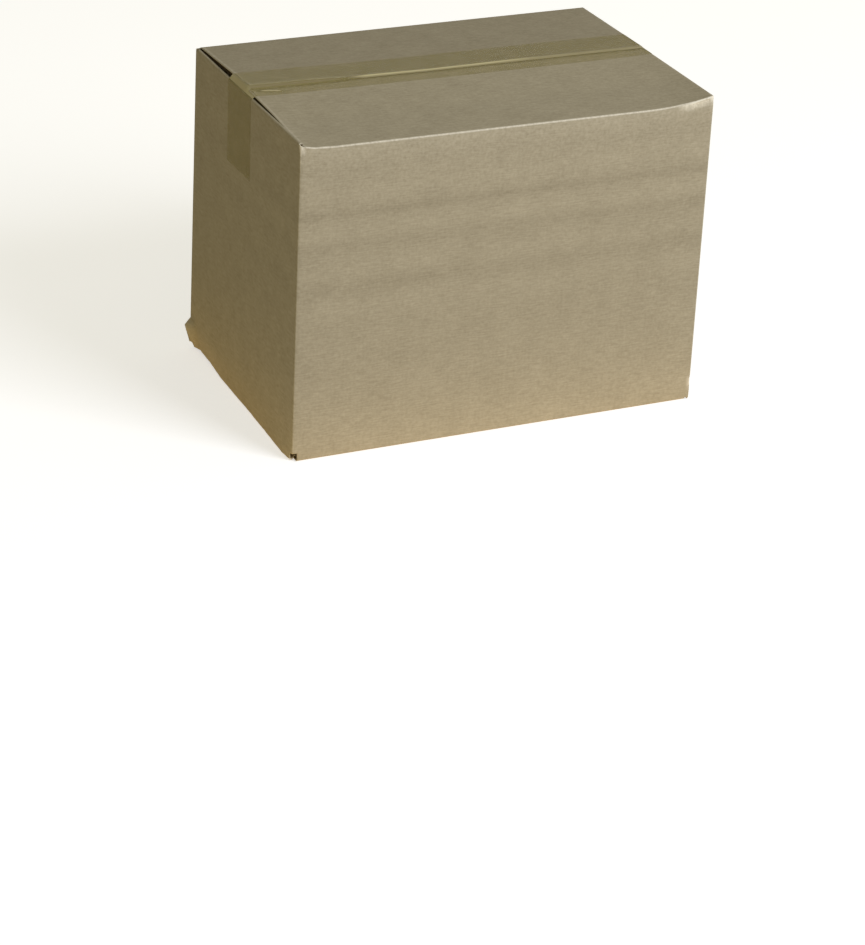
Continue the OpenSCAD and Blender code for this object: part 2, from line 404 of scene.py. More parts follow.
        relief = add_node(tree, "Math", {0: streaks, 1: 0.6, 2: mottle}, operation="MULTIPLY_ADD")
        rough = add_node(tree, "Bump", {"Height": relief, "Strength": 0.5, "Distance": self.fibre_relief})
        waves = add_node(tree, "Bump", {"Height": trace, "Strength": 1.0, "Distance": self.trace_relief,
                                        "Normal": rough})
        shader = add_node(tree, "BsdfPrincipled", {
            "Base Color": surface.outputs[MIX_RESULT], "Roughness": self.roughness, "IOR": self.ior,
            "Specular IOR Level": self.specular, "Normal": waves})
        add_node(tree, "OutputMaterial", {"Surface": shader})
        return material


@dataclass(frozen=True)
class CutBoard:
    """The cut edge of slotted corrugated board: two facings with a wave between.

    Gives the eye: a thin light line along the outer facing, and behind it a hollow painted dark
    as shade, which the wavy middle sheet crosses. The inner facing lies in shadow, so it is painted
    with the hollow's shade and isn't set apart.
    """

    name: str = "corrugated_board_cut_edge"
    facing: str = "#cbc3ae"
    wave: str = "#7d7058"
    # Painted shade in the hollow between the facings, and on the inner facing
    hollow: str = "#4a3d28"
    roughness: float = 0.9
    specular: float = 0.1
    flute_pitch: float = 6.4 * MM
    # As shares of the board's thickness: the facing, the wave's height and half its own sheet
    facing_share: float = 0.16
    wave_height: float = 0.3
    half_sheet: float = 0.09

    def make(self) -> bpy.types.Material:
        """Builds the material.

        Returns:
            The material. It reads the sheet's UV map and the points' share of the thickness.
        """
        material, tree = new_material(self.name)
        sheet = add_node(tree, "UVMap", uv_map="sheet")
        through = add_node(tree, "Attribute", attribute_name="through").outputs["Fac"]
        split = add_node(tree, "SeparateXYZ", {0: sheet})
        phase = add_node(tree, "Math", {0: split.outputs["X"], 1: 2 * math.pi / self.flute_pitch},
                         operation="MULTIPLY")
        wave = add_node(tree, "Math", {0: phase}, operation="SINE")
        middle = add_node(tree, "Math", {0: wave, 1: self.wave_height, 2: 0.5}, operation="MULTIPLY_ADD")
        off = add_node(tree, "Math", {0: through, 1: middle}, operation="SUBTRACT")
        away = add_node(tree, "Math", {0: off}, operation="ABSOLUTE")
        in_wave = add_node(tree, "Math", {0: away, 1: self.half_sheet}, operation="LESS_THAN")
        in_facing = add_node(tree, "Math", {0: through, 1: self.facing_share}, operation="LESS_THAN")
        # The hollow, and the inner facing with it, are painted dark as shade
        inside = add_node(tree, "Mix", {MIX_FACTOR: in_wave, MIX_A: linear(self.hollow),
                                        MIX_B: linear(self.wave)}, data_type="RGBA")
        colour = add_node(tree, "Mix", {MIX_FACTOR: in_facing, MIX_A: inside.outputs[MIX_RESULT],
                                        MIX_B: linear(self.facing)}, data_type="RGBA")
        shader = add_node(tree, "BsdfPrincipled", {
            "Base Color": colour.outputs[MIX_RESULT], "Roughness": self.roughness,
            "Specular IOR Level": self.specular})
        add_node(tree, "OutputMaterial", {"Surface": shader})
        return material


@dataclass(frozen=True)
class PackingTape:
    """Brown polypropylene packing tape, drawn film with a clear adhesive: thin and half clear.

    Gives the eye: a slightly darker, yellower strip with a soft gloss, fine lines along the
    film's draw, and a paler colour wherever air is under it. A highlight is painted along its
    sharp bends and its wrinkle, and painted light where it spans the end folds.
    """

    name: str = "polypropylene_packing_tape"
    stuck: str = "#a4984f"
    lifted: str = "#988d6a"
    # A painted highlight along sharp bends, and painted light where the film spans the end folds
    creased_and_highlit: str = "#e6dcae"
    ior: float = 1.49
    specular: float = 0.08
    roughness: float = 0.42
    cover: float = 0.15
    uneven: float = 0.15
    lifted_cover: float = 0.72
    patch: float = 14 * MM
    draw_length: float = 60 * MM
    draw_width: float = 1.6 * MM
    draw_relief: float = 0.1 * MM

    def make(self) -> bpy.types.Material:
        """Builds the material.

        Returns:
            The material. It reads the tape's UV map and the points' lift, which is 0 where the
            film is stuck, 0.5 over air and 1 at a sharp bend. Above 0.5 the film is painted
            towards a highlight.
        """
        material, tree = new_material(self.name)
        sheet = add_node(tree, "UVMap", uv_map="sheet")
        lift = add_node(tree, "Attribute", attribute_name="lift").outputs["Fac"]
        run = add_node(tree, "Mapping", {"Vector": sheet,
                                         "Scale": (1 / self.draw_length, 1 / self.draw_width, 1.0)})
        lines = add_node(tree, "TexNoise", {"Vector": run, "Scale": 1.0, "Detail": 3.0})
        patches = add_node(tree, "TexNoise", {"Vector": sheet, "Scale": 1 / self.patch, "Detail": 3.0})
        patchy = add_node(tree, "MapRange", {
            "Value": patches, "From Min": NOISE_LOW, "From Max": NOISE_HIGH,
            "To Min": self.cover * (1 - self.uneven), "To Max": self.cover * (1 + self.uneven)})
        over_air = add_node(tree, "MapRange", {"Value": lift, "From Max": 0.5})
        cover = add_node(tree, "Mix", {0: over_air, 2: patchy, 3: self.lifted_cover}, data_type="FLOAT")
        film = add_node(tree, "Mix", {MIX_FACTOR: over_air, MIX_A: linear(self.stuck),
                                      MIX_B: linear(self.lifted)}, data_type="RGBA")
        # Above a lift of 0.5 the film is painted towards a highlight
        painted_highlight = add_node(tree, "MapRange", {"Value": lift, "From Min": 0.5})
        colour = add_node(tree, "Mix", {MIX_FACTOR: painted_highlight, MIX_A: film.outputs[MIX_RESULT],
                                        MIX_B: linear(self.creased_and_highlit)}, data_type="RGBA")
        relief = add_node(tree, "Bump", {"Height": lines, "Strength": 0.4, "Distance": self.draw_relief})
        shader = add_node(tree, "BsdfPrincipled", {
            "Base Color": colour.outputs[MIX_RESULT], "Alpha": cover, "IOR": self.ior,
            "Roughness": self.roughness, "Specular IOR Level": self.specular, "Normal": relief})
        add_node(tree, "OutputMaterial", {"Surface": shader})
        return material


@dataclass(frozen=True)
class Plan:
    """The walls seen from above, column by column along the sheet."""

    point: np.ndarray
    inner: np.ndarray
    normal: np.ndarray
    run: np.ndarray
    zones: list[Zone]


@dataclass(frozen=True)
class Wall:
    """A wall that has flaps: its columns, its flaps' lengths, and whether its flaps lie inside."""

    first: int
    last: int
    top: Fold
    foot: Fold
    top_flap: float
    foot_flap: float
    inside: bool
    cells: int


@dataclass(frozen=True)
class Points:
    """What is known of each point of the plain folded sheet, as arrays of one length.

    A point of the outer face has a twin on the inner face, with a way in and a height of its own.
    """

    column: np.ndarray
    way_in: np.ndarray
    height: np.ndarray
    inner_way: np.ndarray
    inner_height: np.ndarray
    out_in: np.ndarray
    out_up: np.ndarray
    run_up: np.ndarray
    fold: np.ndarray
    share: np.ndarray
    normal: np.ndarray

    def on(self, *parts: Fold) -> np.ndarray:
        """Which points belong to any of these parts of the sheet."""
        return np.isin(self.fold, [part.value for part in parts])

    @property
    def facing(self) -> np.ndarray:
        """How squarely the wall at each point faces the front, from 0 to 1."""
        return np.clip(-self.normal[:, 1], 0, 1)

    @property
    def before_flap(self) -> np.ndarray:
        """Which points lie on a wall or a fold, before the flap's level part."""
        return self.share == 0


@dataclass(frozen=True)
class Wear:
    """What use has done to the carton, and the light and shade painted on its paper. The lists of places and
    sizes along an edge are in mm.
    """

    # The front fold's droop: how far it lies below the nominal fold, at places along the wall
    droop_x: tuple[float, ...] = (-175, -171, -163, -147, -60, 30, 120, 135, 147, 158, 168, 175)
    droop_z: tuple[float, ...] = (0.4, 2.0, 3.7, 4.5, 5.0, 5.5, 6.1, 5.5, 4.3, 2.9, 1.0, 0.0)
    droop_mean: float = 4.7 * MM
    # How far down the front wall follows its fold's droop
    droop_reach: float = 45 * MM
    # How far each top flap springs up at the seam, at places along it
    rise_x: tuple[float, ...] = (-175, -125, -75, -10, 60, 120, 175)
    front_rise: tuple[float, ...] = (2.0, 1.4, 1.0, 0.6, 0.5, 0.4, 0.0)
    back_rise: tuple[float, ...] = (4.4, 3.7, 1.9, 1.1, 1.3, 0.9, 0.4)
    # The outer top flaps lie askew: their right sides reach this far over the end wall's fold
    skew: float = 3.3 * MM
    skew_from: float = 60 * MM
    # The front flap's left side is drawn to the left by this, and by as much again where it
    # bears on the end wall: near the end and towards the front
    drawn: float = 0.9 * MM
    drawn_x: tuple[float, float] = (-150 * MM, -170 * MM)
    bears_from_end: tuple[float, float] = (22 * MM, 4 * MM)
    bears_y: tuple[float, float] = (-48 * MM, -78 * MM)
    # The right end's fold is pressed flat under the outer flaps, and its wall with it
    squash: float = 3.4 * MM
    squash_reach: float = 60 * MM
    # How far the inner flaps lie clear of the pressed outer ones
    flap_clear: float = 0.3 * MM
    # How far the left end leans to the right, at its front and at its back
    lean_top: tuple[float, float] = (-0.6 * MM, 2.1 * MM)
    lean_foot: tuple[float, float] = (-1.7 * MM, -1.5 * MM)
    # How far the walls are pulled in at their middles, and the end walls more under the tape
    bow: float = 0.7 * MM
    tape_press: float = 0.12 * MM
    # The posts beside the front fold lean back at their tops: side, reach along the wall, lean
    post_lean: tuple[tuple[int, float, float], ...] = ((1, 24 * MM, 2.0 * MM), (-1, 9 * MM, 0.8 * MM))
    post_lean_below: tuple[float, float] = (8 * MM, 1 * MM)
    # The left end wall's foot: how far it is tucked in and lifted, at places across the carton
    foot_y: tuple[float, ...] = (-115, -100, -60, -20, 20, 45, 75, 100, 115)
    foot_tuck: tuple[float, ...] = (0.0, -1.9, -0.5, 0.7, 1.1, 1.4, 3.2, 3.7, 2.0)
    foot_lift: tuple[float, ...] = (0.0, 0.0, 0.0, 0.1, 0.4, 0.7, 1.6, 2.2, 0.0)
    # How far up the wall, along its foot flap and along the outer foot flaps this fades
    foot_reach: float = 24 * MM
    foot_flap_share: float = 1 / 12
    foot_flap_x: tuple[float, float] = (-110 * MM, -170 * MM)
    # Its ragged edge: how deep, the longest wave, the seed, and how far it fades at the corners
    ragged: float = 0.5 * MM
    ragged_wave: float = 30 * MM
    ragged_seed: int = 11
    ragged_fade: float = 12 * MM
    # How far down the posts reach below their slots' ends: in the main, beside the slot, and at
    # the back left corner. The front left corner is notched, so its posts stay as they are
    post_drop: float = 6.6 * MM
    slot_drop: float = 4.9 * MM
    knocked_drop: float = 1.5 * MM
    post_reach: float = 16 * MM
    # How far the knock makes the rounded corner sharp
    sharpen: float = 0.8
    # Dents in the front wall's upright corners: side, height and depth, and their size
    dents: tuple[tuple[int, float, float], ...] = (
        (1, 16 * MM, 0.4 * MM), (-1, 240 * MM, 0.5 * MM), (-1, 226 * MM, 0.5 * MM))
    dent_width: float = 4 * MM
    dent_height: float = 2.2 * MM

    # How pale the folds are, from broken fibres and a painted highlight: all, the front flap's,
    # the left end's, and the front left corner at its foot and at its top
    whitened: float = 0.3
    whitened_front: float = 0.95
    whitened_left: float = 0.08
    whitened_corner: tuple[float, float] = (0.45, 1.0)
    whitened_below: tuple[float, float] = (30 * MM, 5 * MM)
    # The front wall's painted sheen, all over and just below its fold, and how fast it fades downwards
    painted_sheen: tuple[float, float] = (0.03, 0.15)
    painted_sheen_fade: float = 30 * MM
    # Painted highlights at the front fold's ends: side, reach, how much longer than high, strength
    patches: tuple[tuple[int, float, float, float], ...] = ((-1, 4 * MM, 1.0, 1.0), (1, 5.2 * MM, 5.0, 1.4))
    # They lie this far below the fold, run from faint to full between these shares of the
    # reach, and stay off the part of the fold whose normal looks up more than this
    patch_below: float = 1.5 * MM
    patch_edge: tuple[float, float] = (1.5, 0.6)
    patch_up_to: float = 0.8
    # The pale nick in the right corner's dent
    nick: float = 1.5
    nick_size: float = 2.5 * MM
    # The top flaps' left sides show the pale edge of their facing, with a painted highlight on it
    flap_side: float = 0.25
    flap_side_width: float = 2.2 * MM
    whitened_knock: float = 0.5
    # Painted light and shade on the paper: bounce light at the walls' foot, more light on the front top flap,
    # a little less next to its fold, and shade on the back top flap
    painted_foot_bounce: float = 0.13
    painted_foot_bounce_fade: float = 45 * MM
    front_flap_painted_light: float = 1.07
    front_fold_painted_shade: float = 0.05
    front_fold_from: tuple[float, float] = (62 * MM, 38 * MM)
    back_flap_painted_shade: float = 0.9
    # How strongly the bands of paper colour and painted shade show on a wall that doesn't face the front
    side_banding: float = 0.35


@dataclass
class Carton:
    """The folded sheet, with the droop, spring and bruises that use has given it, and the light and shade
    painted on its paper.
    """

    height: float = 263 * MM
    board: float = 3 * MM
    liner: float = 0.45 * MM
    fold_r: float = 2 * MM
    end_fold_r: float = 1.5 * MM
    end_fold_step: float = 0.4 * MM
    layer_gap: float = 0.4 * MM
    slot_clear: float = 0.4 * MM
    dip_angle: float = math.radians(70)
    top_slot_stop: float = 1 * MM
    foot_slot_stop: float = 7 * MM
    seam_y: float = 6 * MM
    seam_gap: float = 2 * MM
    tab_width: float = 35 * MM
    tab_clear: float = 1.5 * MM
    glue: float = 0.1 * MM
    joint_gap: float = 1 * MM
    crush_out: float = 5.0 * MM
    crush_foot: float = 2 * MM
    crush_tip: float = 21.5 * MM
    crush_top: float = 28 * MM
    crush_reach: float = 16 * MM
    groove: float = 0.8 * MM
    # How far the inner face's points spread to each side of a sharp inner corner
    corner_spread: float = 0.5 * MM
    # How far from that corner the inner face's rows lie level with the outer face's again
    spread_end: float = 1.9 * MM
    # Where the tape's tails press on the end walls
    tape_y: float = 14 * MM
    tape_half: float = 26 * MM
    tape_tail: float = 70 * MM
    fold_cells: int = 8
    tab_cells: int = 4
    right_cells: int = 44
    front_cells: int = 84
    left_cells: int = 72
    back_cells: int = 74
    height_cells: int = 38
    inner_flap_cells: int = 14
    outer_flap_cells: int = 20
    # By what share the outermost cells are shorter: on the end walls, the long walls and upwards
    tighter_end: float = 0.4
    tighter_long: float = 0.6
    tighter_up: float = 0.55
    wear: Wear = Wear()
    half_l: float = field(init=False)
    half_d: float = field(init=False)
    ground: float = field(init=False)

    def __post_init__(self) -> None:
        """Takes the plan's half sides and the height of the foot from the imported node."""
        low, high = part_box("carton")
        self.half_l = high.x
        self.half_d = high.y
        self.ground = low.z

    @property
    def step(self) -> float:
        """How far the inner flaps lie inside the outer ones."""
        return self.board + self.layer_gap

    @property
    def dip_end(self) -> float:
        """How far in an end wall's fold reaches, once its flap has dipped under the outer ones."""
        turned = self.end_fold_r * (1 - math.cos(self.dip_angle))
        drop = self.step - self.end_fold_step - turned
        return self.end_fold_r * (1 + math.sin(self.dip_angle)) + drop / math.tan(self.dip_angle)

    @property
    def inset(self) -> float:
        """How far the side of each flap stands back from the carton's corner."""
        return self.dip_end + self.slot_clear

    def plan(self) -> tuple[Plan, list[Wall]]:
        """Lays out the columns: glue tab, right end, front, left end and back, round the corners.

        A straight stretch puts its stations on a line, and its inner face one board further
        in. A corner puts its stations on a quarter circle outside, and close to the sharp
        corner inside. Each stretch leaves its last station to the next.

        Returns:
            The plan, and the four walls that have flaps.
        """
        r, board, length, depth = self.fold_r, self.board, self.half_l, self.half_d
        points: list[np.ndarray] = []
        inners: list[np.ndarray] = []
        normals: list[np.ndarray] = []
        zones: list[Zone] = []
        corner_ends: dict[int, np.ndarray] = {}

        def straight(start: tuple[float, float], end: tuple[float, float], zone: Zone,
                     tighter: float = 0.0, cells: int = 1) -> tuple[int, int]:
            """Adds a straight stretch.

            Args:
                start: Its first station.
                end: The station after its last, which the next stretch begins with.
                zone: Its zone of the sheet.
                tighter: By what share its outermost cells are shorter.
                cells: How many cells it has.

            Returns:
                Its first column and the one that it ends at.
            """
            first, share = len(zones), eased(0.0, 1.0, cells, tighter)[:-1, None]
            way = np.array(end) - np.array(start)
            normal = np.tile(np.array([-way[1], way[0]]) / np.linalg.norm(way), (cells, 1))
            points.append(np.array(start) + share * way)
            inners.append(points[-1] - board * normal)
            normals.append(normal)
            zones.extend([zone] * cells)
            return first, first + cells

        def corner(centre: tuple[float, float], start: float, zone: Zone = Zone.POST) -> None:
            """Adds a rounded corner: a quarter circle that turns right.

            Args:
                centre: The circle's centre.
                start: The angle that it starts from, in degrees from +X towards +Y.
                zone: Its zone of the sheet.
            """
            share = np.arange(self.fold_cells + 1)[:, None] / self.fold_cells
            angle = np.radians(start - 90 * share)
            normal = np.hstack([np.cos(angle), np.sin(angle)])
            before, after = normal[0], normal[-1]
            past = self.corner_spread * (2 * share - 1)
            along = np.where(past < 0, [before[1], -before[0]], [after[1], -after[0]])
            inner = np.array(centre) + (r - board) * (before + after) + past * along
            points.append(np.array(centre) + r * normal[:-1])
            inners.append(inner[:-1])
            normals.append(normal[:-1])
            zones.extend([zone] * self.fold_cells)
            corner_ends[len(zones)] = inner[-1]

        tab_y, edge = depth - board - self.glue, self.inset
        straight((length - self.tab_width, tab_y), (length - r, tab_y), Zone.TAB, 0.0, self.tab_cells)
        corner((length - r, tab_y - r), 90, Zone.TAB)
        end_wall, long_wall = (Zone.END, self.tighter_end), (Zone.LONG, self.tighter_long)
        right = straight((length, tab_y - r), (length, edge - depth), *end_wall, self.right_cells)
        straight((length, edge - depth), (length, r - depth), Zone.POST)
        corner((length - r, r - depth), 0)
        straight((length - r, -depth), (length - edge, -depth), Zone.POST)
        front = straight((length - edge, -depth), (edge - length, -depth), *long_wall, self.front_cells)
        straight((edge - length, -depth), (r - length, -depth), Zone.POST)
        corner((r - length, r - depth), 270)
        straight((-length, r - depth), (-length, edge - depth), Zone.POST)
        left = straight((-length, edge - depth), (-length, depth - edge), *end_wall, self.left_cells)
        straight((-length, depth - edge), (-length, depth - r), Zone.POST)
        corner((r - length, depth - r), 180)
        straight((r - length, depth), (edge - length, depth), Zone.POST)
        back = straight((edge - length, depth), (length - edge, depth), *long_wall, self.back_cells)
        straight((length - edge, depth), (length - self.joint_gap, depth), Zone.POST)
        points.append(np.array([[length - self.joint_gap, depth]]))
        inners.append(np.array([[length - self.joint_gap, depth - board]]))
        normals.append(np.array([[0.0, 1.0]]))

        point, inner = np.concatenate(points), np.concatenate(inners)
        for column, place in corner_ends.items():
            inner[column] = place
        chord = np.linalg.norm(np.diff(point, axis=0), axis=1)
        run = np.concatenate([[0.0], np.cumsum(chord)])
        foot_flap = depth - self.seam_gap / 2 - r
        front_flap, back_flap = foot_flap + self.seam_y, foot_flap - self.seam_y
        inner_flap = r + foot_flap - (self.step - self.end_fold_step) - self.dip_end
        inside, outside = (True, self.inner_flap_cells), (False, self.outer_flap_cells)
        walls = [
            Wall(*right, Fold.RIGHT_TOP, Fold.RIGHT_FOOT, inner_flap, inner_flap, *inside),
            Wall(*front, Fold.FRONT_TOP, Fold.FRONT_FOOT, front_flap, foot_flap, *outside),
            Wall(*left, Fold.LEFT_TOP, Fold.LEFT_FOOT, inner_flap, inner_flap, *inside),
            Wall(*back, Fold.BACK_TOP, Fold.BACK_FOOT, back_flap, foot_flap, *outside),
        ]
        return Plan(point, inner, np.concatenate(normals), run, zones), walls

    def wall_rows(self) -> tuple[np.ndarray, dict[Zone, tuple[int, int]]]:
        """Works out the walls' rows. They lie closer together near the foot and the top.

        Returns:
            Their heights, and between which of them each zone of the sheet reaches.
        """
        r, top = self.fold_r, self.height
        margin = 2 * self.step + self.tab_clear
        middle = eased(margin, top - margin, self.height_cells, self.tighter_up)
        for level in (self.crush_tip, self.crush_top):
            middle[np.argmin(np.abs(middle - level))] = level
        high = [top - r, top - (r + self.top_slot_stop) / 2, top - self.top_slot_stop]
        rows = np.concatenate([[r, self.foot_slot_stop], middle, high])
        last = len(rows) - 1
        flapped = (0, last - 2)
        return rows, {Zone.LONG: flapped, Zone.END: flapped, Zone.POST: (1, last), Zone.TAB: (2, last - 3)}

    def inner_rows(self, rows: np.ndarray, inside: bool) -> np.ndarray:
        """Heights of the inner face's rows on a wall: those near a fold end short of its inner corner.

        Args:
            rows: Heights of the outer face's rows.
            inside: Whether the wall's flaps are the inner ones.

        Returns:
            The heights: the same in the middle, and squeezed straight into what is left at the ends.
        """
        corner = self.board + (self.step if inside else 0.0)
        free = corner + self.spread_end
        first = corner + self.corner_spread
        known = [self.fold_r, free, self.height - free, self.height - self.fold_r]
        placed = [first, free, self.height - free, self.height - first]
        return np.interp(rows, known, placed) + np.maximum(rows - known[-1], 0.0)

    def flap_rows(self, wall: Wall, at_top: bool) -> dict[str, np.ndarray]:
        """The section of one fold and its flap, row by row from the wall.

        An outer flap's fold is a quarter circle. An inner flap's goes further round, and then
        straight down under the outer flaps. The flap runs level from there.

        Args:
            wall: The wall.
            at_top: Whether it is the top flap.

        Returns:
            For each row: both faces' ways in and heights, the outward normal's two parts, the
            distance along the sheet, and the share of the flap's length.
        """
        turn = math.radians(90) + (self.dip_angle if wall.inside else 0.0)
        r = self.end_fold_r if wall.inside else self.fold_r
        lower = self.end_fold_step if wall.inside else 0.0
        angle = turn * np.arange(1, self.fold_cells + 1) / self.fold_cells
        way, deep = r - r * np.cos(angle), lower + r - r * np.sin(angle)
        out_in, out_up = -np.cos(angle), np.sin(angle)
        if wall.inside:
            part = np.array([0.5, 1.0])
            way = np.append(way, way[-1] + part * (self.dip_end - way[-1]))
            deep = np.append(deep, deep[-1] + part * (self.step - deep[-1]))
            out_in = np.append(out_in, [math.sin(self.dip_angle), math.sin(self.dip_angle / 2)])
            out_up = np.append(out_up, [math.cos(self.dip_angle), math.cos(self.dip_angle / 2)])

        length = wall.top_flap if at_top else wall.foot_flap
        along = length * np.arange(1, wall.cells + 1) / wall.cells
        past = self.corner_spread * (2 * np.arange(1, len(way) + 1) / len(way) - 1)
        inner_way = np.append(self.board + np.maximum(past, 0), way[-1] + along)
        inner_deep = deep[-1] + self.board + np.append(np.maximum(-past, 0), np.zeros(wall.cells))
        share = np.append(np.zeros(len(way)), along / length)
        out_in, out_up = np.append(out_in, np.zeros(wall.cells)), np.append(out_up, np.ones(wall.cells))
        way, deep = np.append(way, way[-1] + along), np.append(deep, np.full(wall.cells, deep[-1]))
        steps = np.hypot(np.diff(way, prepend=0.0), np.diff(deep, prepend=self.fold_r))
        section = {"way_in": way, "inner_way": inner_way, "out_in": out_in, "share": share}
        heights = {"height": deep, "inner_height": inner_deep, "run_up": self.fold_r - np.cumsum(steps)}
        if at_top:
            heights = {key: self.height - value for key, value in heights.items()}
        return section | heights | {"out_up": out_up if at_top else -out_up}

    def lay_out(self, plan: Plan, walls: list[Wall]) -> tuple[Points, np.ndarray]:
        """Numbers the points of the sheet's outer face and joins them into cells.

        The walls share one grid of columns and rows, from which each zone takes the rows it
        reaches. Each flap is a grid of its own whose first row is the wall's last.

        Args:
            plan: The columns.
            walls: The walls that have flaps.

        Returns:
            The points, and the cells as four point numbers each, turning left from outside.
        """
        rows, reach = self.wall_rows()
        low, high = np.array([reach[zone] for zone in plan.zones]).T
        level = np.arange(len(rows) - 1)[:, None]
        exists = (level >= low) & (level < high)
        used = np.zeros((len(rows), len(plan.run)), bool)
        for up in (0, 1):
            for on in (0, 1):
                used[up : up + len(exists), on : on + exists.shape[1]] |= exists
        number = np.full(used.shape, -1)
        number[used] = np.arange(used.sum())
        row, column = np.nonzero(used)
        kind = np.zeros(len(plan.run), int)
        for wall in walls:
            kind[wall.first : wall.last + 1] = 2 if wall.inside else 1
        inner_rows = np.stack([rows, self.inner_rows(rows, False), self.inner_rows(rows, True)])
        plain = np.zeros(len(row))
        parts = [{
            "column": column, "way_in": plain, "height": rows[row], "inner_way": plain + self.board,
            "inner_height": inner_rows[kind[column], row], "out_in": plain - 1, "out_up": plain,
            "run_up": rows[row], "fold": plain.astype(int), "share": plain,
        }]
        grids = [grid_cells(number)[exists]]
        total = len(row)
        for wall in walls:
            columns = np.arange(wall.first, wall.last + 1)
            foot_row, top_row = reach[plan.zones[wall.first]]
            for at_top, start in ((True, top_row), (False, foot_row)):
                section = self.flap_rows(wall, at_top)
                count = len(section["height"])
                own = total + np.arange(count * len(columns)).reshape(count, len(columns))
                total += own.size
                grid = np.vstack([number[start, columns], own])
                grids.append(grid_cells(grid if at_top else grid[::-1]).reshape(-1, 4))
                part = {key: np.repeat(value, len(columns)) for key, value in section.items()}
                part["column"] = np.tile(columns, count)
                part["fold"] = np.full(own.size, (wall.top if at_top else wall.foot).value)
                parts.append(part)
        joined = {key: np.concatenate([part[key] for part in parts]) for key in parts[0]}
        return Points(**joined, normal=plan.normal[joined["column"]]), np.concatenate(grids)

    def place(self, plan: Plan, points: Points) -> tuple[np.ndarray, np.ndarray]:
        """Folds the sheet: where the points of both faces lie in the plain form.

        A point lies on its column's plan point, moved against the plan's normal by its way in,
        and at its height.

        Args:
            plan: The columns.
            points: The points.

        Returns:
            The outer and the inner face, each with one row of x, y and z for each point.
        """
        outer = plan.point[points.column] - points.normal * points.way_in[:, None]
        inner = plan.inner[points.column] - points.normal * (points.inner_way - self.board)[:, None]
        return (np.column_stack([outer, points.height + self.ground]),
                np.column_stack([inner, points.inner_height + self.ground]))

    def droop(self, x: np.ndarray) -> np.ndarray:
        """How far the front fold hangs below its nominal height, straight between its few values."""
        return straight_line(x, self.wear.droop_x, self.wear.droop_z)

    def flap_lift(self, x: np.ndarray, share: np.ndarray, front: bool) -> np.ndarray:
        """How far a top flap lies above its nominal height.

        The flap turns about its fold, so its lift goes straight from the fold's own, which is
        the front fold's droop or nothing, to the flap's rise at the seam.

        Args:
            x: Places along the carton.
            share: The share of the flap's length from the fold.
            front: Whether it is the front flap.

        Returns:
            The lift, which is negative near the front fold.
        """
        wear = self.wear
        if front:
            return eased_line(x, wear.rise_x, wear.front_rise) * share - self.droop(x) * (1 - share)
        return eased_line(x, wear.rise_x, wear.back_rise) * share

    def top_height(self, x: np.ndarray, y: np.ndarray) -> np.ndarray:
        """Height of the top flaps' outer faces, straight across the gap at the seam.

        Args:
            x: Places along the carton.
            y: Places across the carton.

        Returns:
            The height above the origin.
        """
        front_edge, back_edge = self.seam_y - self.seam_gap / 2, self.seam_y + self.seam_gap / 2
        fold = self.half_d - self.fold_r
        front = self.flap_lift(x, part_way(y, -fold, front_edge), True)
        back = self.flap_lift(x, part_way(y, fold, back_edge), False)
        across = part_way(y, front_edge, back_edge)
        return self.ground + self.height + front * (1 - across) + back * across

    def askew(self, x: np.ndarray) -> np.ndarray:
        """How far the outer top flaps are drawn to the right: eased from nothing to their right sides."""
        return self.wear.skew * fade_in(x, self.wear.skew_from, self.half_l - self.inset)

    def lean(self, place: np.ndarray) -> np.ndarray:
        """How far points move to the right as the left end leans.

        The lean goes straight up the end and straight across it, and fades to nothing at the
        right end.

        Args:
            place: Points, with x, y and z along the last axis.

        Returns:
            The moves along the length.
        """
        left = part_way(place[..., 0], self.half_l, -self.half_l)
        back = part_way(place[..., 1], -self.half_d, self.half_d)
        up = part_way(place[..., 2], self.ground, self.ground + self.height)
        ends = [foot + (top - foot) * up for foot, top in zip(self.wear.lean_foot, self.wear.lean_top)]
        return left * (ends[0] * (1 - back) + ends[1] * back)

    def wall_bow(self, along: np.ndarray, height: np.ndarray, half: float) -> np.ndarray:
        """How far a wall is pulled in: a half wave along it times a half wave up it."""
        sideways = np.cos(np.clip(along / half, -1, 1) * math.pi / 2)
        return self.wear.bow * sideways * np.sin(part_way(height, 0.0, self.height) * math.pi)

    def crush(self, points: Points, place: np.ndarray) -> np.ndarray:
        """How strongly each point shares in the knocked corner, from 0 to 1.

        The knock is a low pyramid: the least of a slope along the walls, a slope up from the
        foot and a slope down from above, all of which are 1 at the tip.

        Args:
            points: The points.
            place: Where the points of the outer face lie in the plain form.

        Returns:
            The strength, which is 0 on the flaps.
        """
        along = 1 - np.maximum(self.half_d - place[:, 1], place[:, 0] + self.half_l) / self.crush_reach
        upward = np.minimum((points.height - self.crush_foot) / (self.crush_tip - self.crush_foot),
                            (self.crush_top - points.height) / (self.crush_top - self.crush_tip))
        return np.where(points.on(Fold.WALLS), np.clip(np.minimum(along, upward), 0, 1), 0.0)

    def settle(self, points: Points, place: np.ndarray) -> np.ndarray:
        """How far use has moved each point from the plain folded form.

        Args:
            points: The points.
            place: Where the points of the outer face lie in the plain form.

        Returns:
            One row of moves in x, y and z for each point.
        """
        move = np.zeros_like(place)
        for part in (self.settle_top, self.settle_walls, self.settle_foot, self.settle_corners):
            part(points, place, move)
        move[:, 0] += self.lean(place)
        return move

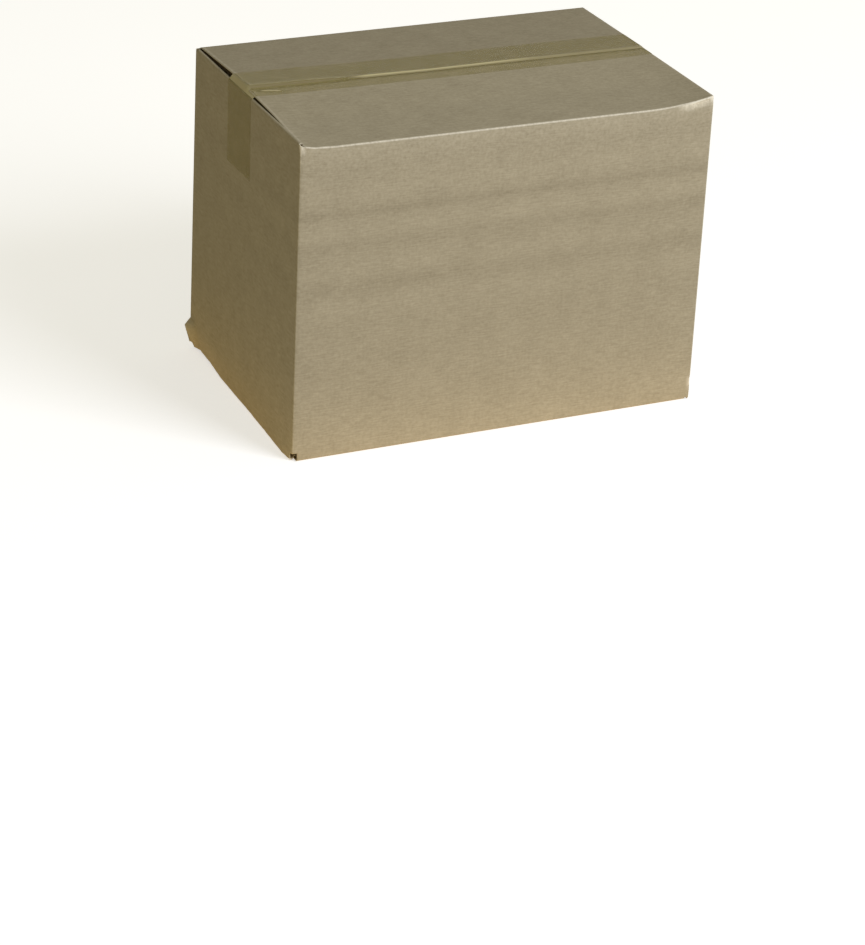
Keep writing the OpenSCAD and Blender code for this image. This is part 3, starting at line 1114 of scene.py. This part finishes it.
    def settle_top(self, points: Points, place: np.ndarray, move: np.ndarray) -> None:
        """Lets the front fold droop and the outer top flaps spring, and presses what is under them.

        Args:
            points: The points.
            place: Where the points of the outer face lie in the plain form.
            move: The moves so far, to which this adds.
        """
        wear, (x, y, z) = self.wear, place.T
        top, walls = self.height, points.on(Fold.WALLS)
        follow = fade_in(points.height, top - wear.droop_reach, top - self.fold_r)
        move[:, 2] -= np.where(walls, self.droop(x) * follow * points.facing, 0.0)
        past_fold = part_way(points.way_in, 0.0, self.fold_r)
        for flap, front in ((Fold.FRONT_TOP, True), (Fold.BACK_TOP, False)):
            here = points.on(flap)
            move[here, 2] += self.flap_lift(x[here], points.share[here], front)
            move[here, 0] += self.askew(x[here]) * past_fold[here]

        # Towards its front the front flap's left side bears on the end wall, and the gap closes
        bears = fade_in(x + self.half_l, *wear.bears_from_end) * fade_in(y, *wear.bears_y)
        drawn = wear.drawn * fade_in(x, *wear.drawn_x) * past_fold
        move[:, 0] -= np.where(points.on(Fold.FRONT_TOP), drawn * (1 + bears), 0.0)

        # The right end wall's fold is pressed flat under the outer flaps that lie over it
        right_end = points.on(Fold.RIGHT_TOP) | (walls & (points.normal[:, 0] > FLAT))
        right_end &= (np.abs(y) < self.half_d - self.inset + NEAR) & points.before_flap
        pressed = fade_in(points.height, top - wear.squash_reach, top - self.fold_r)
        move[:, 2] -= np.where(right_end, wear.squash * pressed, 0.0)

        # The inner flaps are pressed down wherever the outer ones lie lower than they do
        under = self.top_height(x, y) - self.board - wear.flap_clear
        covered = part_way(points.way_in, 2 * self.end_fold_r, self.dip_end)
        covered = np.where(points.on(Fold.RIGHT_TOP), 1.0, covered)
        down = np.minimum(under - z - move[:, 2], 0) * covered
        move[:, 2] += np.where(points.on(Fold.LEFT_TOP, Fold.RIGHT_TOP), down, 0.0)

    def settle_walls(self, points: Points, place: np.ndarray, move: np.ndarray) -> None:
        """Pulls the walls in at their middles and under the tape, and leans the front posts back.

        Args:
            points: The points.
            place: Where the points of the outer face lie in the plain form.
            move: The moves so far, to which this adds.
        """
        wear, (x, y, _) = self.wear, place.T
        height, walls = points.height, points.on(Fold.WALLS)
        end_wall = walls & (np.abs(points.normal[:, 0]) > FLAT)
        long_wall = walls & (np.abs(points.normal[:, 1]) > FLAT) & (np.abs(y) > self.half_d - NEAR)
        taped = (np.abs(y - self.tape_y) < self.tape_half) & (height > self.height - self.tape_tail)
        pull = self.wall_bow(y, height, self.half_d) + np.where(taped, wear.tape_press, 0.0)
        move[:, 0] -= np.where(end_wall, np.sign(x) * pull, 0.0)
        move[:, 1] -= np.where(long_wall, np.sign(y) * self.wall_bow(x, height, self.half_l), 0.0)
        upper = part_way(self.height - height, *wear.post_lean_below)
        for side, reach, lean in wear.post_lean:
            near = fade_in(self.half_l - side * x, reach, 0.0)
            move[:, 1] += np.where(walls, lean * near * upper * points.facing, 0.0)

    def settle_foot(self, points: Points, place: np.ndarray, move: np.ndarray) -> None:
        """Tucks in and lifts the left end wall's ragged foot, and draws the posts' ends down.

        Args:
            points: The points.
            place: Where the points of the outer face lie in the plain form.
            move: The moves so far, to which this adds.
        """
        wear, (x, y, _) = self.wear, place.T
        height, walls = points.height, points.on(Fold.WALLS)
        tuck = straight_line(y, wear.foot_y, wear.foot_tuck)
        lift = straight_line(y, wear.foot_y, wear.foot_lift)
        ragged = wear.ragged * np.abs(wander(y, wear.ragged_wave, wear.ragged_seed))
        ragged *= fade_in(self.half_d - np.abs(y), 0.0, wear.ragged_fade)
        left_foot = points.on(Fold.LEFT_FOOT) | (walls & (points.normal[:, 0] < -0.5))
        low = fade_in(height, wear.foot_reach, self.fold_r) * part_way(points.share, wear.foot_flap_share, 0.0)
        move[:, 0] += np.where(left_foot, tuck * low, 0.0)
        move[:, 2] += np.where(left_foot, (lift + ragged) * low, 0.0)
        follow = np.maximum(tuck, 0) * fade_in(x, *wear.foot_flap_x)
        move[:, 0] += np.where(points.on(Fold.FRONT_FOOT, Fold.BACK_FOOT), follow, 0.0)

        # The posts' ends close the slots' ends beside them
        from_x, from_y = self.half_l - np.abs(x), self.half_d - np.abs(y)
        beside = np.maximum(from_x, from_y)
        post = walls & (np.minimum(from_x, from_y) < NEAR) & (beside < self.inset + NEAR)
        post &= ~((x < 0) & (y < 0)) & (height > self.foot_slot_stop - NEAR)
        drop = np.where(beside < self.inset - NEAR, wear.post_drop, wear.slot_drop)
        drop = np.where((x < 0) & (y > 0), wear.knocked_drop, drop)
        move[:, 2] -= np.where(post, drop * part_way(height, wear.post_reach, self.foot_slot_stop), 0.0)

    def settle_corners(self, points: Points, place: np.ndarray, move: np.ndarray) -> None:
        """Knocks the back left corner outwards near its foot, and dents the front's upright corners.

        Args:
            points: The points.
            place: Where the points of the outer face lie in the plain form.
            move: The moves so far, to which this adds.
        """
        wear, (x, y, _) = self.wear, place.T
        walls = points.on(Fold.WALLS)
        knock = self.crush(points, place)
        rounded = np.abs(points.normal).max(1) < 1 - 1e-3
        sharpen = wear.sharpen * knock * rounded
        move[:, 0] += sharpen * (-self.half_l - x) - self.crush_out * knock
        move[:, 1] += sharpen * (self.half_d - y)
        for side, dent_z, deep in wear.dents:
            at_corner = bump(np.hypot(x - side * self.half_l, y + self.half_d), wear.dent_width)
            at_height = bump(points.height - dent_z, wear.dent_height)
            dent = np.where(walls, deep * at_corner * at_height, 0.0)
            move[:, 0] -= side * dent
            move[:, 1] += dent

    def creases(self, points: Points, place: np.ndarray) -> np.ndarray:
        """How whitened the paper is at each point: 0 is not at all, and 2 is wholly, however patchy.

        A fold is whitest along its middle, where the cube of twice the product of its normal's
        two parts is 1: broken fibres there, and a painted highlight. The front wall is paler
        towards its fold, a painted sheen, and its corners add round painted highlights. The
        whitest of these counts.

        Args:
            points: The points.
            place: Where the points lie in the plain form.

        Returns:
            The whitening.
        """
        wear, (x, y, _) = self.wear, place.T
        height, walls, below = points.height, points.on(Fold.WALLS), self.height - points.height
        # Folds are pale from broken fibres, and from a painted highlight along their middles
        upright = np.clip(2 * np.abs(points.normal[:, 0] * points.normal[:, 1]), 0, 1) ** 3
        level = np.clip(-2 * points.out_in * np.abs(points.out_up), 0, 1) ** 3
        strength = np.full(len(x), wear.whitened)
        strength[points.on(Fold.FRONT_TOP)] = wear.whitened_front
        strength[points.on(Fold.LEFT_TOP)] = wear.whitened_left
        foot, top = wear.whitened_corner
        front_left = foot + (top - foot) * fade_in(below, *wear.whitened_below)
        worn_and_highlit = upright * np.where((x < 0) & (y < 0), front_left, wear.whitened)

        # The front wall's painted sheen, paler towards its fold
        painted_sheen = wear.painted_sheen[0] + wear.painted_sheen[1] * np.exp(-below / wear.painted_sheen_fade)
        nick = np.hypot(np.hypot(x - self.half_l, y + self.half_d), height - wear.dents[0][1])
        side = points.on(Fold.BACK_TOP, Fold.FRONT_TOP)
        side &= x + self.half_l < self.inset + wear.flap_side_width
        marks = [
            np.where(walls, worn_and_highlit, level * strength),
            np.where(walls, painted_sheen * points.facing, 0.0),
            np.where(walls, wear.nick * bump(nick, wear.nick_size), 0.0),
            np.where(side, wear.flap_side, 0.0),
            wear.whitened_knock * self.crush(points, place),
        ]
        # Round painted highlights where the front fold flares at its ends
        front = (y < -self.half_d + self.inset) & points.before_flap & (points.out_up < wear.patch_up_to)
        for end, reach, longer, strong in wear.patches:
            tip = np.hypot((x - end * self.half_l) / longer, below - wear.patch_below)
            marks.append(np.where(front, strong * fade_in(tip / reach, *wear.patch_edge), 0.0))
        return np.clip(np.max(marks, axis=0), 0, 2)

    def tone_with_painted_light(self, points: Points, place: np.ndarray) -> np.ndarray:
        """How light the paper is at each point, where 1 is plain.

        Painted light and shade: the walls get lighter towards the foot, as e to the minus (height
        over the fade), painted bounce light. The front flap is painted lighter than the back flap,
        as if lit more, and a little less so next to its fold, painted shade.

        Args:
            points: The points.
            place: Where the points lie in the plain form.

        Returns:
            The factor on the paper's colour.
        """
        wear = self.wear
        tone_with_painted_light = 1 + wear.painted_foot_bounce * np.exp(-points.height / wear.painted_foot_bounce_fade)
        near_fold = fade_in(place[:, 1] + self.half_d, *wear.front_fold_from)
        front_flap = wear.front_flap_painted_light - wear.front_fold_painted_shade * near_fold
        tone_with_painted_light = np.where(points.on(Fold.FRONT_TOP), front_flap, tone_with_painted_light)
        return np.where(points.on(Fold.BACK_TOP), wear.back_flap_painted_shade, tone_with_painted_light)

    def close_edges(
        self, outer: np.ndarray, inner: np.ndarray, cells: np.ndarray
    ) -> tuple[np.ndarray, list[tuple[float, float]], np.ndarray, np.ndarray]:
        """Joins the two faces along every open edge, where the board is cut.

        A strip joins them in five steps, of which the middle three follow the hollow between
        the facings, one groove's depth into the board.

        Args:
            outer: Points of the outer face.
            inner: Their twins on the inner face.
            cells: The outer face's cells.

        Returns:
            The edge points' numbers, the four rings' shares of the thickness and of the depth,
            the rings' points, and the strips' faces.
        """
        # An open edge is one that no other cell walks the other way
        count = len(outer)
        edges = np.stack([cells, np.roll(cells, -1, axis=1)], -1).reshape(-1, 2)
        code, back_code = edges[:, 0] * count + edges[:, 1], edges[:, 1] * count + edges[:, 0]
        rim = edges[~np.isin(code, back_code)]
        rim_points = np.unique(rim)
        spot = np.full(count, -1)
        spot[rim_points] = np.arange(len(rim_points))

        # The way into the sheet from each point: towards the middle of the cells round it
        centre = outer[cells].mean(1)
        total, share = np.zeros((count, 3)), np.zeros(count)
        np.add.at(total, cells.ravel(), np.repeat(centre, 4, axis=0))
        np.add.at(share, cells.ravel(), 1.0)
        inward = (total / share[:, None] - outer)[rim_points]
        inward *= self.groove / np.maximum(np.linalg.norm(inward, axis=1), self.groove)[:, None]

        facing = self.liner / self.board
        rings = [(facing, 0.0), (facing, 1.0), (1 - facing, 1.0), (1 - facing, 0.0)]
        a, b = outer[rim_points], inner[rim_points]
        ring_points = np.concatenate([a + (b - a) * through + inward * depth for through, depth in rings])
        tracks = [rim_points, *(2 * count + np.arange(len(ring_points)).reshape(len(rings), -1)),
                  rim_points + count]
        start, end = spot[rim[:, 0]], spot[rim[:, 1]]
        strips = np.concatenate([
            np.stack([near[end], near[start], far[start], far[end]], -1)
            for near, far in zip(tracks[:-1], tracks[1:])
        ])
        return rim_points, rings, ring_points, strips

    def build(self, liner: bpy.types.Material, cut: bpy.types.Material) -> bpy.types.Object:
        """Makes the sheet as one closed piece: an outer face, an inner face and the cut edges.

        Args:
            liner: The paper's material.
            cut: The cut edges' material.

        Returns:
            The piece.
        """
        plan, walls = self.plan()
        points, cells = self.lay_out(plan, walls)
        plain, plain_inner = self.place(plan, points)
        move = self.settle(points, plain)
        outer, inner = plain + move, plain_inner + move
        rim_points, rings, ring_points, strips = self.close_edges(outer, inner, cells)
        count = len(outer)
        all_points = np.concatenate([outer, inner, ring_points])
        quads = np.concatenate([cells, cells[:, ::-1] + count, strips])

        flat_sheet = np.column_stack([plan.run[points.column], points.run_up])
        uv = np.concatenate([flat_sheet, flat_sheet, *[flat_sheet[rim_points]] * len(rings)])
        through = np.concatenate([np.zeros(count), np.ones(count),
                                  *[np.full(len(rim_points), t) for t, _ in rings]])
        banding = self.wear.side_banding + (1 - self.wear.side_banding) * points.facing
        # The points' crease whitening, partly broken fibres and partly a painted highlight, their bands of
        # paper colour and painted shade, and their painted light and shade
        outside = {
            "crease": (self.creases(points, plain), 0.0),
            "banding": (np.where(points.on(Fold.WALLS), banding, 0.0), 0.0),
            "tone_with_painted_light": (self.tone_with_painted_light(points, plain), 1.0),
        }
        rest = len(all_points) - count
        values = {key: np.append(value, np.full(rest, plainly)) for key, (value, plainly) in outside.items()}
        of_strip = np.arange(len(quads)) >= 2 * len(cells)
        piece = make_piece("folded_sheet", all_points, quads, uv, [liner, cut], of_strip, of_strip,
                           {"through": through, **values})
        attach(piece, "root")
        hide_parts("carton")
        return piece


def make_strip(
    name: str, under: np.ndarray, over: np.ndarray, uv: np.ndarray, lift: np.ndarray, film: bpy.types.Material
) -> bpy.types.Object:
    """Makes a thin closed strip from its two faces.

    Args:
        name: The piece's name.
        under: The under face as a grid of points, station by station along and point by point across.
        over: The upper face, as the same grid.
        uv: The flat strip's coordinates at each grid point.
        lift: How far off the board each grid point is, from 0 to 1, raised where light or a highlight is
            painted on the film.
        film: The material.

    Returns:
        The piece, with its rim closed by one row of faces.
    """
    total = lift.size
    number = np.arange(total).reshape(lift.shape)
    cells = grid_cells(number).reshape(-1, 4)
    rim = np.concatenate([number[0, :-1], number[:-1, -1], number[-1, :0:-1], number[:0:-1, 0]])
    after = np.roll(rim, -1)
    sides = np.stack([rim, after, after + total, rim + total], -1)
    quads = np.concatenate([cells[:, ::-1], cells + total, sides[:, ::-1]])
    points = np.concatenate([under.reshape(-1, 3), over.reshape(-1, 3)])
    both = np.concatenate([uv.reshape(-1, 2)] * 2)
    flat = np.arange(len(quads)) >= 2 * len(cells)
    piece = make_piece(name, points, quads, both, [film], np.zeros(len(quads)), flat,
                       {"lift": np.concatenate([lift.ravel()] * 2)})
    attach(piece, "root")
    return piece


@dataclass
class Tape:
    """The two strips of packing tape."""

    carton: Carton
    width: float = 50 * MM
    thickness: float = 0.1 * MM
    adhesive: float = 0.05 * MM
    shift: float = 8 * MM
    tail: float = 68 * MM
    tooth: float = 0.7 * MM
    foot_margin: float = 1 * MM
    # How far in front of the seam the film leaves the front flap: everywhere, and more at the left
    leaves: float = 2.2 * MM
    leaves_more: float = 2 * MM
    leaves_more_x: tuple[float, float] = (-82 * MM, -98 * MM)
    # Air this deep under the film gives it a lift of 0.5
    full_air: float = 0.8 * MM
    # The lift over the gap, painted light on the film over the shaded gap: at the left, and what the rest has
    # more
    gap_painted_light: tuple[float, float] = (0.28, 0.32)
    # A highlight is painted on the sharp bend over the back flap's edge: where it begins, and how further
    # right it grows wider and fainter
    bend_from: tuple[float, float] = (-92 * MM, -70 * MM)
    bend_wider: tuple[float, float] = (35 * MM, 85 * MM)
    bend_width: tuple[float, float] = (1.3 * MM, 0.9 * MM)
    bend_fainter: float = 0.55
    bend_before: float = 0.5 * MM
    # The lift of the painted highlight at the bend, from its rim inwards, and how strong the bend is at that
    # rim
    bend_highlight_lift: tuple[float, float] = (0.35, 0.65)
    bend_rim: float = 0.1
    # One wrinkle stands up near the left end, just in front of the seam, with a painted highlight along it
    wrinkle_from: tuple[float, float] = (-168 * MM, -0.5 * MM)
    wrinkle_to: tuple[float, float] = (-145 * MM, -6.0 * MM)
    wrinkle_fade: tuple[float, float] = (8 * MM, 6 * MM)
    wrinkle_width: float = 1.3 * MM
    wrinkle_height: float = 0.7 * MM
    # Painted light where the film spans from the end's fold to the flaps, and at the flaps' ends, as if lit
    # from above
    span_painted_light: float = 0.78
    end_painted_light: float = 0.6
    tail_cells: int = 18
    fold_cells: int = 6
    span_cells: int = 5
    top_cells: int = 96
    foot_cells: int = 40
    across_cells: int = 50

    def across(self) -> np.ndarray:
        """Stations across the tape, one a millimetre, which fall on both flaps' free edges."""
        middle = self.carton.seam_y + self.shift
        return np.linspace(middle - self.width / 2, middle + self.width / 2, self.across_cells + 1)

    def teeth(self) -> np.ndarray:
        """How far each station is cut back at a torn end, every second one by a tooth."""
        return self.tooth * (np.arange(self.across_cells + 1) % 2)

    def wrinkle(self, x: np.ndarray, y: np.ndarray) -> np.ndarray:
        """The wrinkle's share of its height: a round bump aside of its line, faded at both ends.

        Args:
            x: Places along the carton.
            y: Places across the carton.

        Returns:
            The share, from 0 to 1.
        """
        start, end = np.array(self.wrinkle_from), np.array(self.wrinkle_to)
        length = np.linalg.norm(end - start)
        way = (end - start) / length
        along = (x - start[0]) * way[0] + (y - start[1]) * way[1]
        aside = (y - start[1]) * way[0] - (x - start[0]) * way[1]
        ends = fade_in(along, 0.0, self.wrinkle_fade[0]) * fade_in(length - along, 0.0, self.wrinkle_fade[1])
        return bump(aside, self.wrinkle_width) * ends

    def over_flaps(self, x: np.ndarray, y: np.ndarray) -> tuple[np.ndarray, np.ndarray]:
        """Height of the board or of the air under the tape, and the tape's lift off the board.

        The tape hugs the front flap up to where it leaves it, and from there runs straight to
        the back flap's free edge. Along the left part it leaves the front flap early.

        Args:
            x: Places along the carton.
            y: Places across the carton.

        Returns:
            The height, and the lift from 0 to 1, raised where light or a highlight is painted on the film.
        """
        carton = self.carton
        back_edge = carton.seam_y + carton.seam_gap / 2
        leaves = carton.seam_y - self.leaves - self.leaves_more * fade_in(x, *self.leaves_more_x)
        board = carton.top_height(x, y)
        start, end = carton.top_height(x, leaves), carton.top_height(x, np.full_like(x, back_edge))
        straight = start + (end - start) * (y - leaves) / (back_edge - leaves)
        bridged = (y > leaves) & (y < back_edge)
        height = np.where(bridged, np.maximum(board, straight), board)

        begun, wider = fade_in(x, *self.bend_from), fade_in(x, *self.bend_wider)
        width = self.bend_width[0] + self.bend_width[1] * wider
        sharp = begun * (1 - self.bend_fainter * wider)
        bend = sharp * bump(y - back_edge + self.bend_before, width)
        ridge = self.wrinkle(x, y)
        # The lift also paints light on the film over the gap, and a highlight on the bend and the wrinkle
        lift = np.max([
            0.5 * part_way(height - board, 0.0, self.full_air),
            (self.gap_painted_light[0] + self.gap_painted_light[1] * begun) * bridged,
            np.maximum(ridge, self.bend_highlight_lift[0] + self.bend_highlight_lift[1] * bend) * (bend + ridge > self.bend_rim),
        ], axis=0)
        return height + self.wrinkle_height * ridge, lift

    def half_path(self, side: int, off: float) -> tuple[np.ndarray, np.ndarray]:
        """One end of the top strip: up the end wall, round its fold and straight to the flap.

        The tape follows the fold's circle up to the angle at which a tangent meets the end of
        the flap: the arc cosine of radius over distance, less the lean of the line from the
        fold's centre to the flap's end.

        Args:
            side: -1 at the left end, 1 at the right end.
            off: Distance off the board.

        Returns:
            The grid of points, from the tail's torn end, and the lift at each.
        """
        carton, y = self.carton, self.across()
        r = carton.end_fold_r + off
        centre_x = carton.half_l - carton.end_fold_r
        centre_z = carton.ground + carton.height - carton.end_fold_step - carton.end_fold_r
        lip_x = carton.half_l - carton.inset + off / 2
        lip_z = self.over_flaps(np.full_like(y, side * lip_x), y)[0] + off
        if side > 0:
            centre_z -= carton.wear.squash
            lip_x += carton.wear.skew
        rise_x, rise_z = centre_x - lip_x, lip_z - centre_z
        leave = np.arccos(r / np.hypot(rise_x, rise_z)) - np.arctan2(rise_x, rise_z)
        low = carton.ground + carton.height - self.tail + self.teeth()
        share = np.arange(self.tail_cells)[:, None] / self.tail_cells
        tail_z = low + share * (centre_z - low)
        bow = carton.wall_bow(np.broadcast_to(y, tail_z.shape), tail_z - carton.ground, carton.half_d)
        tail_x = carton.half_l + off - bow
        turn = (math.pi / 2 - leave) * np.arange(self.fold_cells + 1)[:, None] / self.fold_cells
        fold_x, fold_z = centre_x + r * np.cos(turn), centre_z + r * np.sin(turn)
        part = np.arange(1, self.span_cells)[:, None] / self.span_cells
        span_x = fold_x[-1] + part * (lip_x - fold_x[-1])
        span_z = fold_z[-1] + part * (lip_z - fold_z[-1])
        across = np.concatenate([tail_x, fold_x, span_x])
        height = np.concatenate([tail_z, fold_z, span_z])
        lift = np.zeros_like(across)
        # Painted light on the film where it spans to the flap
        lift[len(tail_x) + len(fold_x) :] = self.span_painted_light
        return np.stack([side * across, np.broadcast_to(y, across.shape), height], -1), lift

    def top(self, film: bpy.types.Material) -> bpy.types.Object:
        """Makes the strip over the top seam and down both end walls.

        Args:
            film: The material.

        Returns:
            The piece.
        """
        carton, y = self.carton, self.across()
        faces = []
        for off in (self.adhesive, self.adhesive + self.thickness):
            left, left_lift = self.half_path(-1, off)
            right, right_lift = self.half_path(1, off)
            lip = carton.half_l - carton.inset + off / 2
            x, across = np.meshgrid(eased(-lip, lip, self.top_cells, 0.5), y, indexing="ij")
            height, top_lift = self.over_flaps(x, across)
            # Painted light on the film at the flaps' ends
            top_lift[[0, -1]] = np.maximum(top_lift[[0, -1]], self.end_painted_light)
            middle = np.stack([x + carton.askew(x), across, height + off], -1)
            face = np.concatenate([left, middle, right[::-1]])
            face[..., 0] += carton.lean(face)
            faces.append(face)
            lift = np.concatenate([left_lift, top_lift, right_lift[::-1]])
        under, over = faces
        steps = np.linalg.norm(np.diff(under[:, 0], axis=0), axis=1)
        run = np.concatenate([[0.0], np.cumsum(steps)])
        uv = np.stack(np.broadcast_arrays(run[:, None], y[None, :]), -1)
        piece = make_strip("top_strip", under, over, uv, lift, film)
        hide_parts("top_tape")
        return piece

    def foot(self, film: bpy.types.Material) -> bpy.types.Object:
        """Makes the strip over the bottom seam, flat on the ground, with both ends torn.

        Args:
            film: The material.

        Returns:
            The piece.
        """
        carton = self.carton
        half = carton.half_l - carton.inset - self.foot_margin
        y = self.across() - (carton.seam_y + self.shift)
        x = np.linspace(-1, 1, self.foot_cells + 1)[:, None] * (half - self.teeth())
        across = np.broadcast_to(y, x.shape)
        under = np.stack([x, across, np.zeros_like(x)], -1)
        over = under + np.array([0.0, 0.0, self.thickness])
        piece = make_strip("foot_strip", under, over, np.stack([x, across], -1), np.zeros_like(x), film)
        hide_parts("bottom_tape")
        return piece


@dataclass
class Studio:
    """The plain room: a pale floor, one large lamp, an even sky and the camera."""

    camera_place: Vector = field(default_factory=lambda: Vector((-1.00891, -2.11315, 1.07932)))
    camera_aim: Vector = field(default_factory=lambda: Vector((-0.04597, -0.09562, -0.03975)))
    camera_roll: float = 2.6267
    lens: float = 118.2389
    lamp_way: Vector = field(default_factory=lambda: Vector((0.40, -0.73, 0.55)))
    lamp_distance: float = 4.0
    lamp_size: float = 1.9
    lamp_level: float = 0.67
    lamp_colour: tuple[float, float, float] = (0.97, 1.0, 1.12)
    sky_level: float = 0.35
    sky_colour: tuple[float, float, float, float] = (1.0, 0.92, 0.62, 1.0)
    white: tuple[float, float, float, float] = (1.0, 1.0, 1.0, 1.0)
    # The floor as light meets it, and as a ray that shows it does, with a glow of its own
    floor_paper: str = "#e6d9bd"
    floor_shown: str = "#dedede"
    floor_glow: float = 0.58
    # Warm light that the floor gives back to the carton's foot, within this far of it
    bounce_reach: float = 80 * MM
    bounce_colour: tuple[float, float, float, float] = (0.46, 0.30, 0.10, 1.0)
    carton_half: tuple[float, float, float] = (175 * MM, 115 * MM, 0.0)
    floor_half: float = 8.0
    floor_cells: int = 8
    floor_z: float = -0.01 * MM

    def shown(self, tree: bpy.types.NodeTree) -> bpy.types.Node:
        """Adds nodes that tell the rays that show a surface from those that light something.

        Args:
            tree: The node tree.

        Returns:
            The last node, which gives 1 for camera, glossy and transmission rays.
        """
        rays = add_node(tree, "LightPath").outputs
        direct = add_node(tree, "Math", {0: rays["Is Camera Ray"], 1: rays["Is Glossy Ray"]},
                          operation="MAXIMUM")
        return add_node(tree, "Math", {0: direct, 1: rays["Is Transmission Ray"]}, operation="MAXIMUM")

    def floor_finish(self) -> bpy.types.Material:
        """Builds the floor's finish: matt pale paper, white to the camera outside the shadow.

        Returns:
            The material.
        """
        material, tree = new_material("pale_floor")
        place = add_node(tree, "TexCoord").outputs["Object"]
        apart = add_node(tree, "VectorMath", {0: place}, operation="ABSOLUTE")
        past = add_node(tree, "VectorMath", {0: apart, 1: self.carton_half}, operation="SUBTRACT")
        outside = add_node(tree, "VectorMath", {0: past, 1: (0.0, 0.0, 0.0)}, operation="MAXIMUM")
        gap = add_node(tree, "VectorMath", {0: outside}, operation="LENGTH")
        near = add_node(tree, "MapRange", {"Value": gap.outputs["Value"], "From Min": self.bounce_reach * 0.9,
                                           "From Max": self.bounce_reach, "To Min": 1.0, "To Max": 0.0})
        bounce = add_node(tree, "Emission", {"Color": self.bounce_colour, "Strength": near})
        matt = add_node(tree, "BsdfDiffuse", {"Color": linear(self.floor_paper)})
        paper = add_node(tree, "AddShader", {0: matt, 1: bounce})
        seen = add_node(tree, "BsdfDiffuse", {"Color": linear(self.floor_shown)})
        glow = add_node(tree, "Emission", {"Color": self.white, "Strength": self.floor_glow})
        white = add_node(tree, "AddShader", {0: seen, 1: glow})
        mix = add_node(tree, "MixShader", {0: self.shown(tree), 1: paper, 2: white})
        add_node(tree, "OutputMaterial", {"Surface": mix})
        return material

    def sky(self) -> None:
        """Sets the even light from all round, which shows white behind the object."""
        world = bpy.data.worlds.new("even_sky")
        world.use_nodes = True
        tree = world.node_tree
        tree.nodes.clear()
        light = add_node(tree, "Background", {"Color": self.sky_colour, "Strength": self.sky_level})
        white = add_node(tree, "Background", {"Color": self.white, "Strength": 1.0})
        mix = add_node(tree, "MixShader", {0: self.shown(tree), 1: light, 2: white})
        add_node(tree, "OutputWorld", {"Surface": mix})
        bpy.context.scene.world = world

    def floor(self) -> bpy.types.Object:
        """Lays the floor just under the carton: a grid in a level plane.

        Returns:
            The floor.
        """
        s = np.linspace(-self.floor_half, self.floor_half, self.floor_cells + 1)
        x, y = np.meshgrid(s, s, indexing="ij")
        points = np.stack([x, y, np.full_like(x, self.floor_z)], -1).reshape(-1, 3)
        cells = grid_cells(np.arange(x.size).reshape(x.shape)).reshape(-1, 4)
        none = np.zeros(len(cells), bool)
        floor = make_piece("floor", points, cells, points[:, :2], [self.floor_finish()], none, none, {})
        return floor

    def lamp(self) -> None:
        """Hangs the square lamp, so strong that a white facing it would show its level."""
        way = self.lamp_way.normalized()
        data = bpy.data.lights.new("key_lamp", "AREA")
        data.shape = "SQUARE"
        data.size = self.lamp_size
        data.color = self.lamp_colour
        data.energy = self.lamp_level * math.pi**2 * self.lamp_distance**2
        lamp = bpy.data.objects.new("key_lamp", data)
        lamp.matrix_world = Matrix.LocRotScale(way * self.lamp_distance, (-way).to_track_quat("-Z", "Y"), None)
        bpy.context.scene.collection.objects.link(lamp)

    def camera(self) -> None:
        """Sets up the camera at the photograph's place, aim, roll and lens."""
        data = bpy.data.cameras.new("camera")
        data.lens = self.lens
        aimed = (self.camera_aim - self.camera_place).to_track_quat("-Z", "Y").to_matrix()
        turn = aimed @ Matrix.Rotation(math.radians(self.camera_roll), 3, "Z")
        camera = bpy.data.objects.new("camera", data)
        camera.matrix_world = Matrix.LocRotScale(self.camera_place, turn.to_quaternion(), None)
        bpy.context.scene.collection.objects.link(camera)
        bpy.context.scene.camera = camera


def main() -> None:
    """Builds the carton, its tape and the room, and reports each piece."""
    logging.basicConfig(level=logging.INFO, format="%(name)s: %(message)s")
    bpy.context.scene.view_settings.view_transform = "Standard"
    studio = Studio()
    studio.camera()
    studio.sky()
    studio.lamp()
    studio.floor()
    carton = Carton()
    liner = KraftLinerboard().make(carton.ground + carton.height - carton.wear.droop_mean)
    report(carton.build(liner, CutBoard().make()))
    film = PackingTape().make()
    tape = Tape(carton)
    report(tape.top(film))
    report(tape.foot(film))


if __name__ == "__main__":
    main()
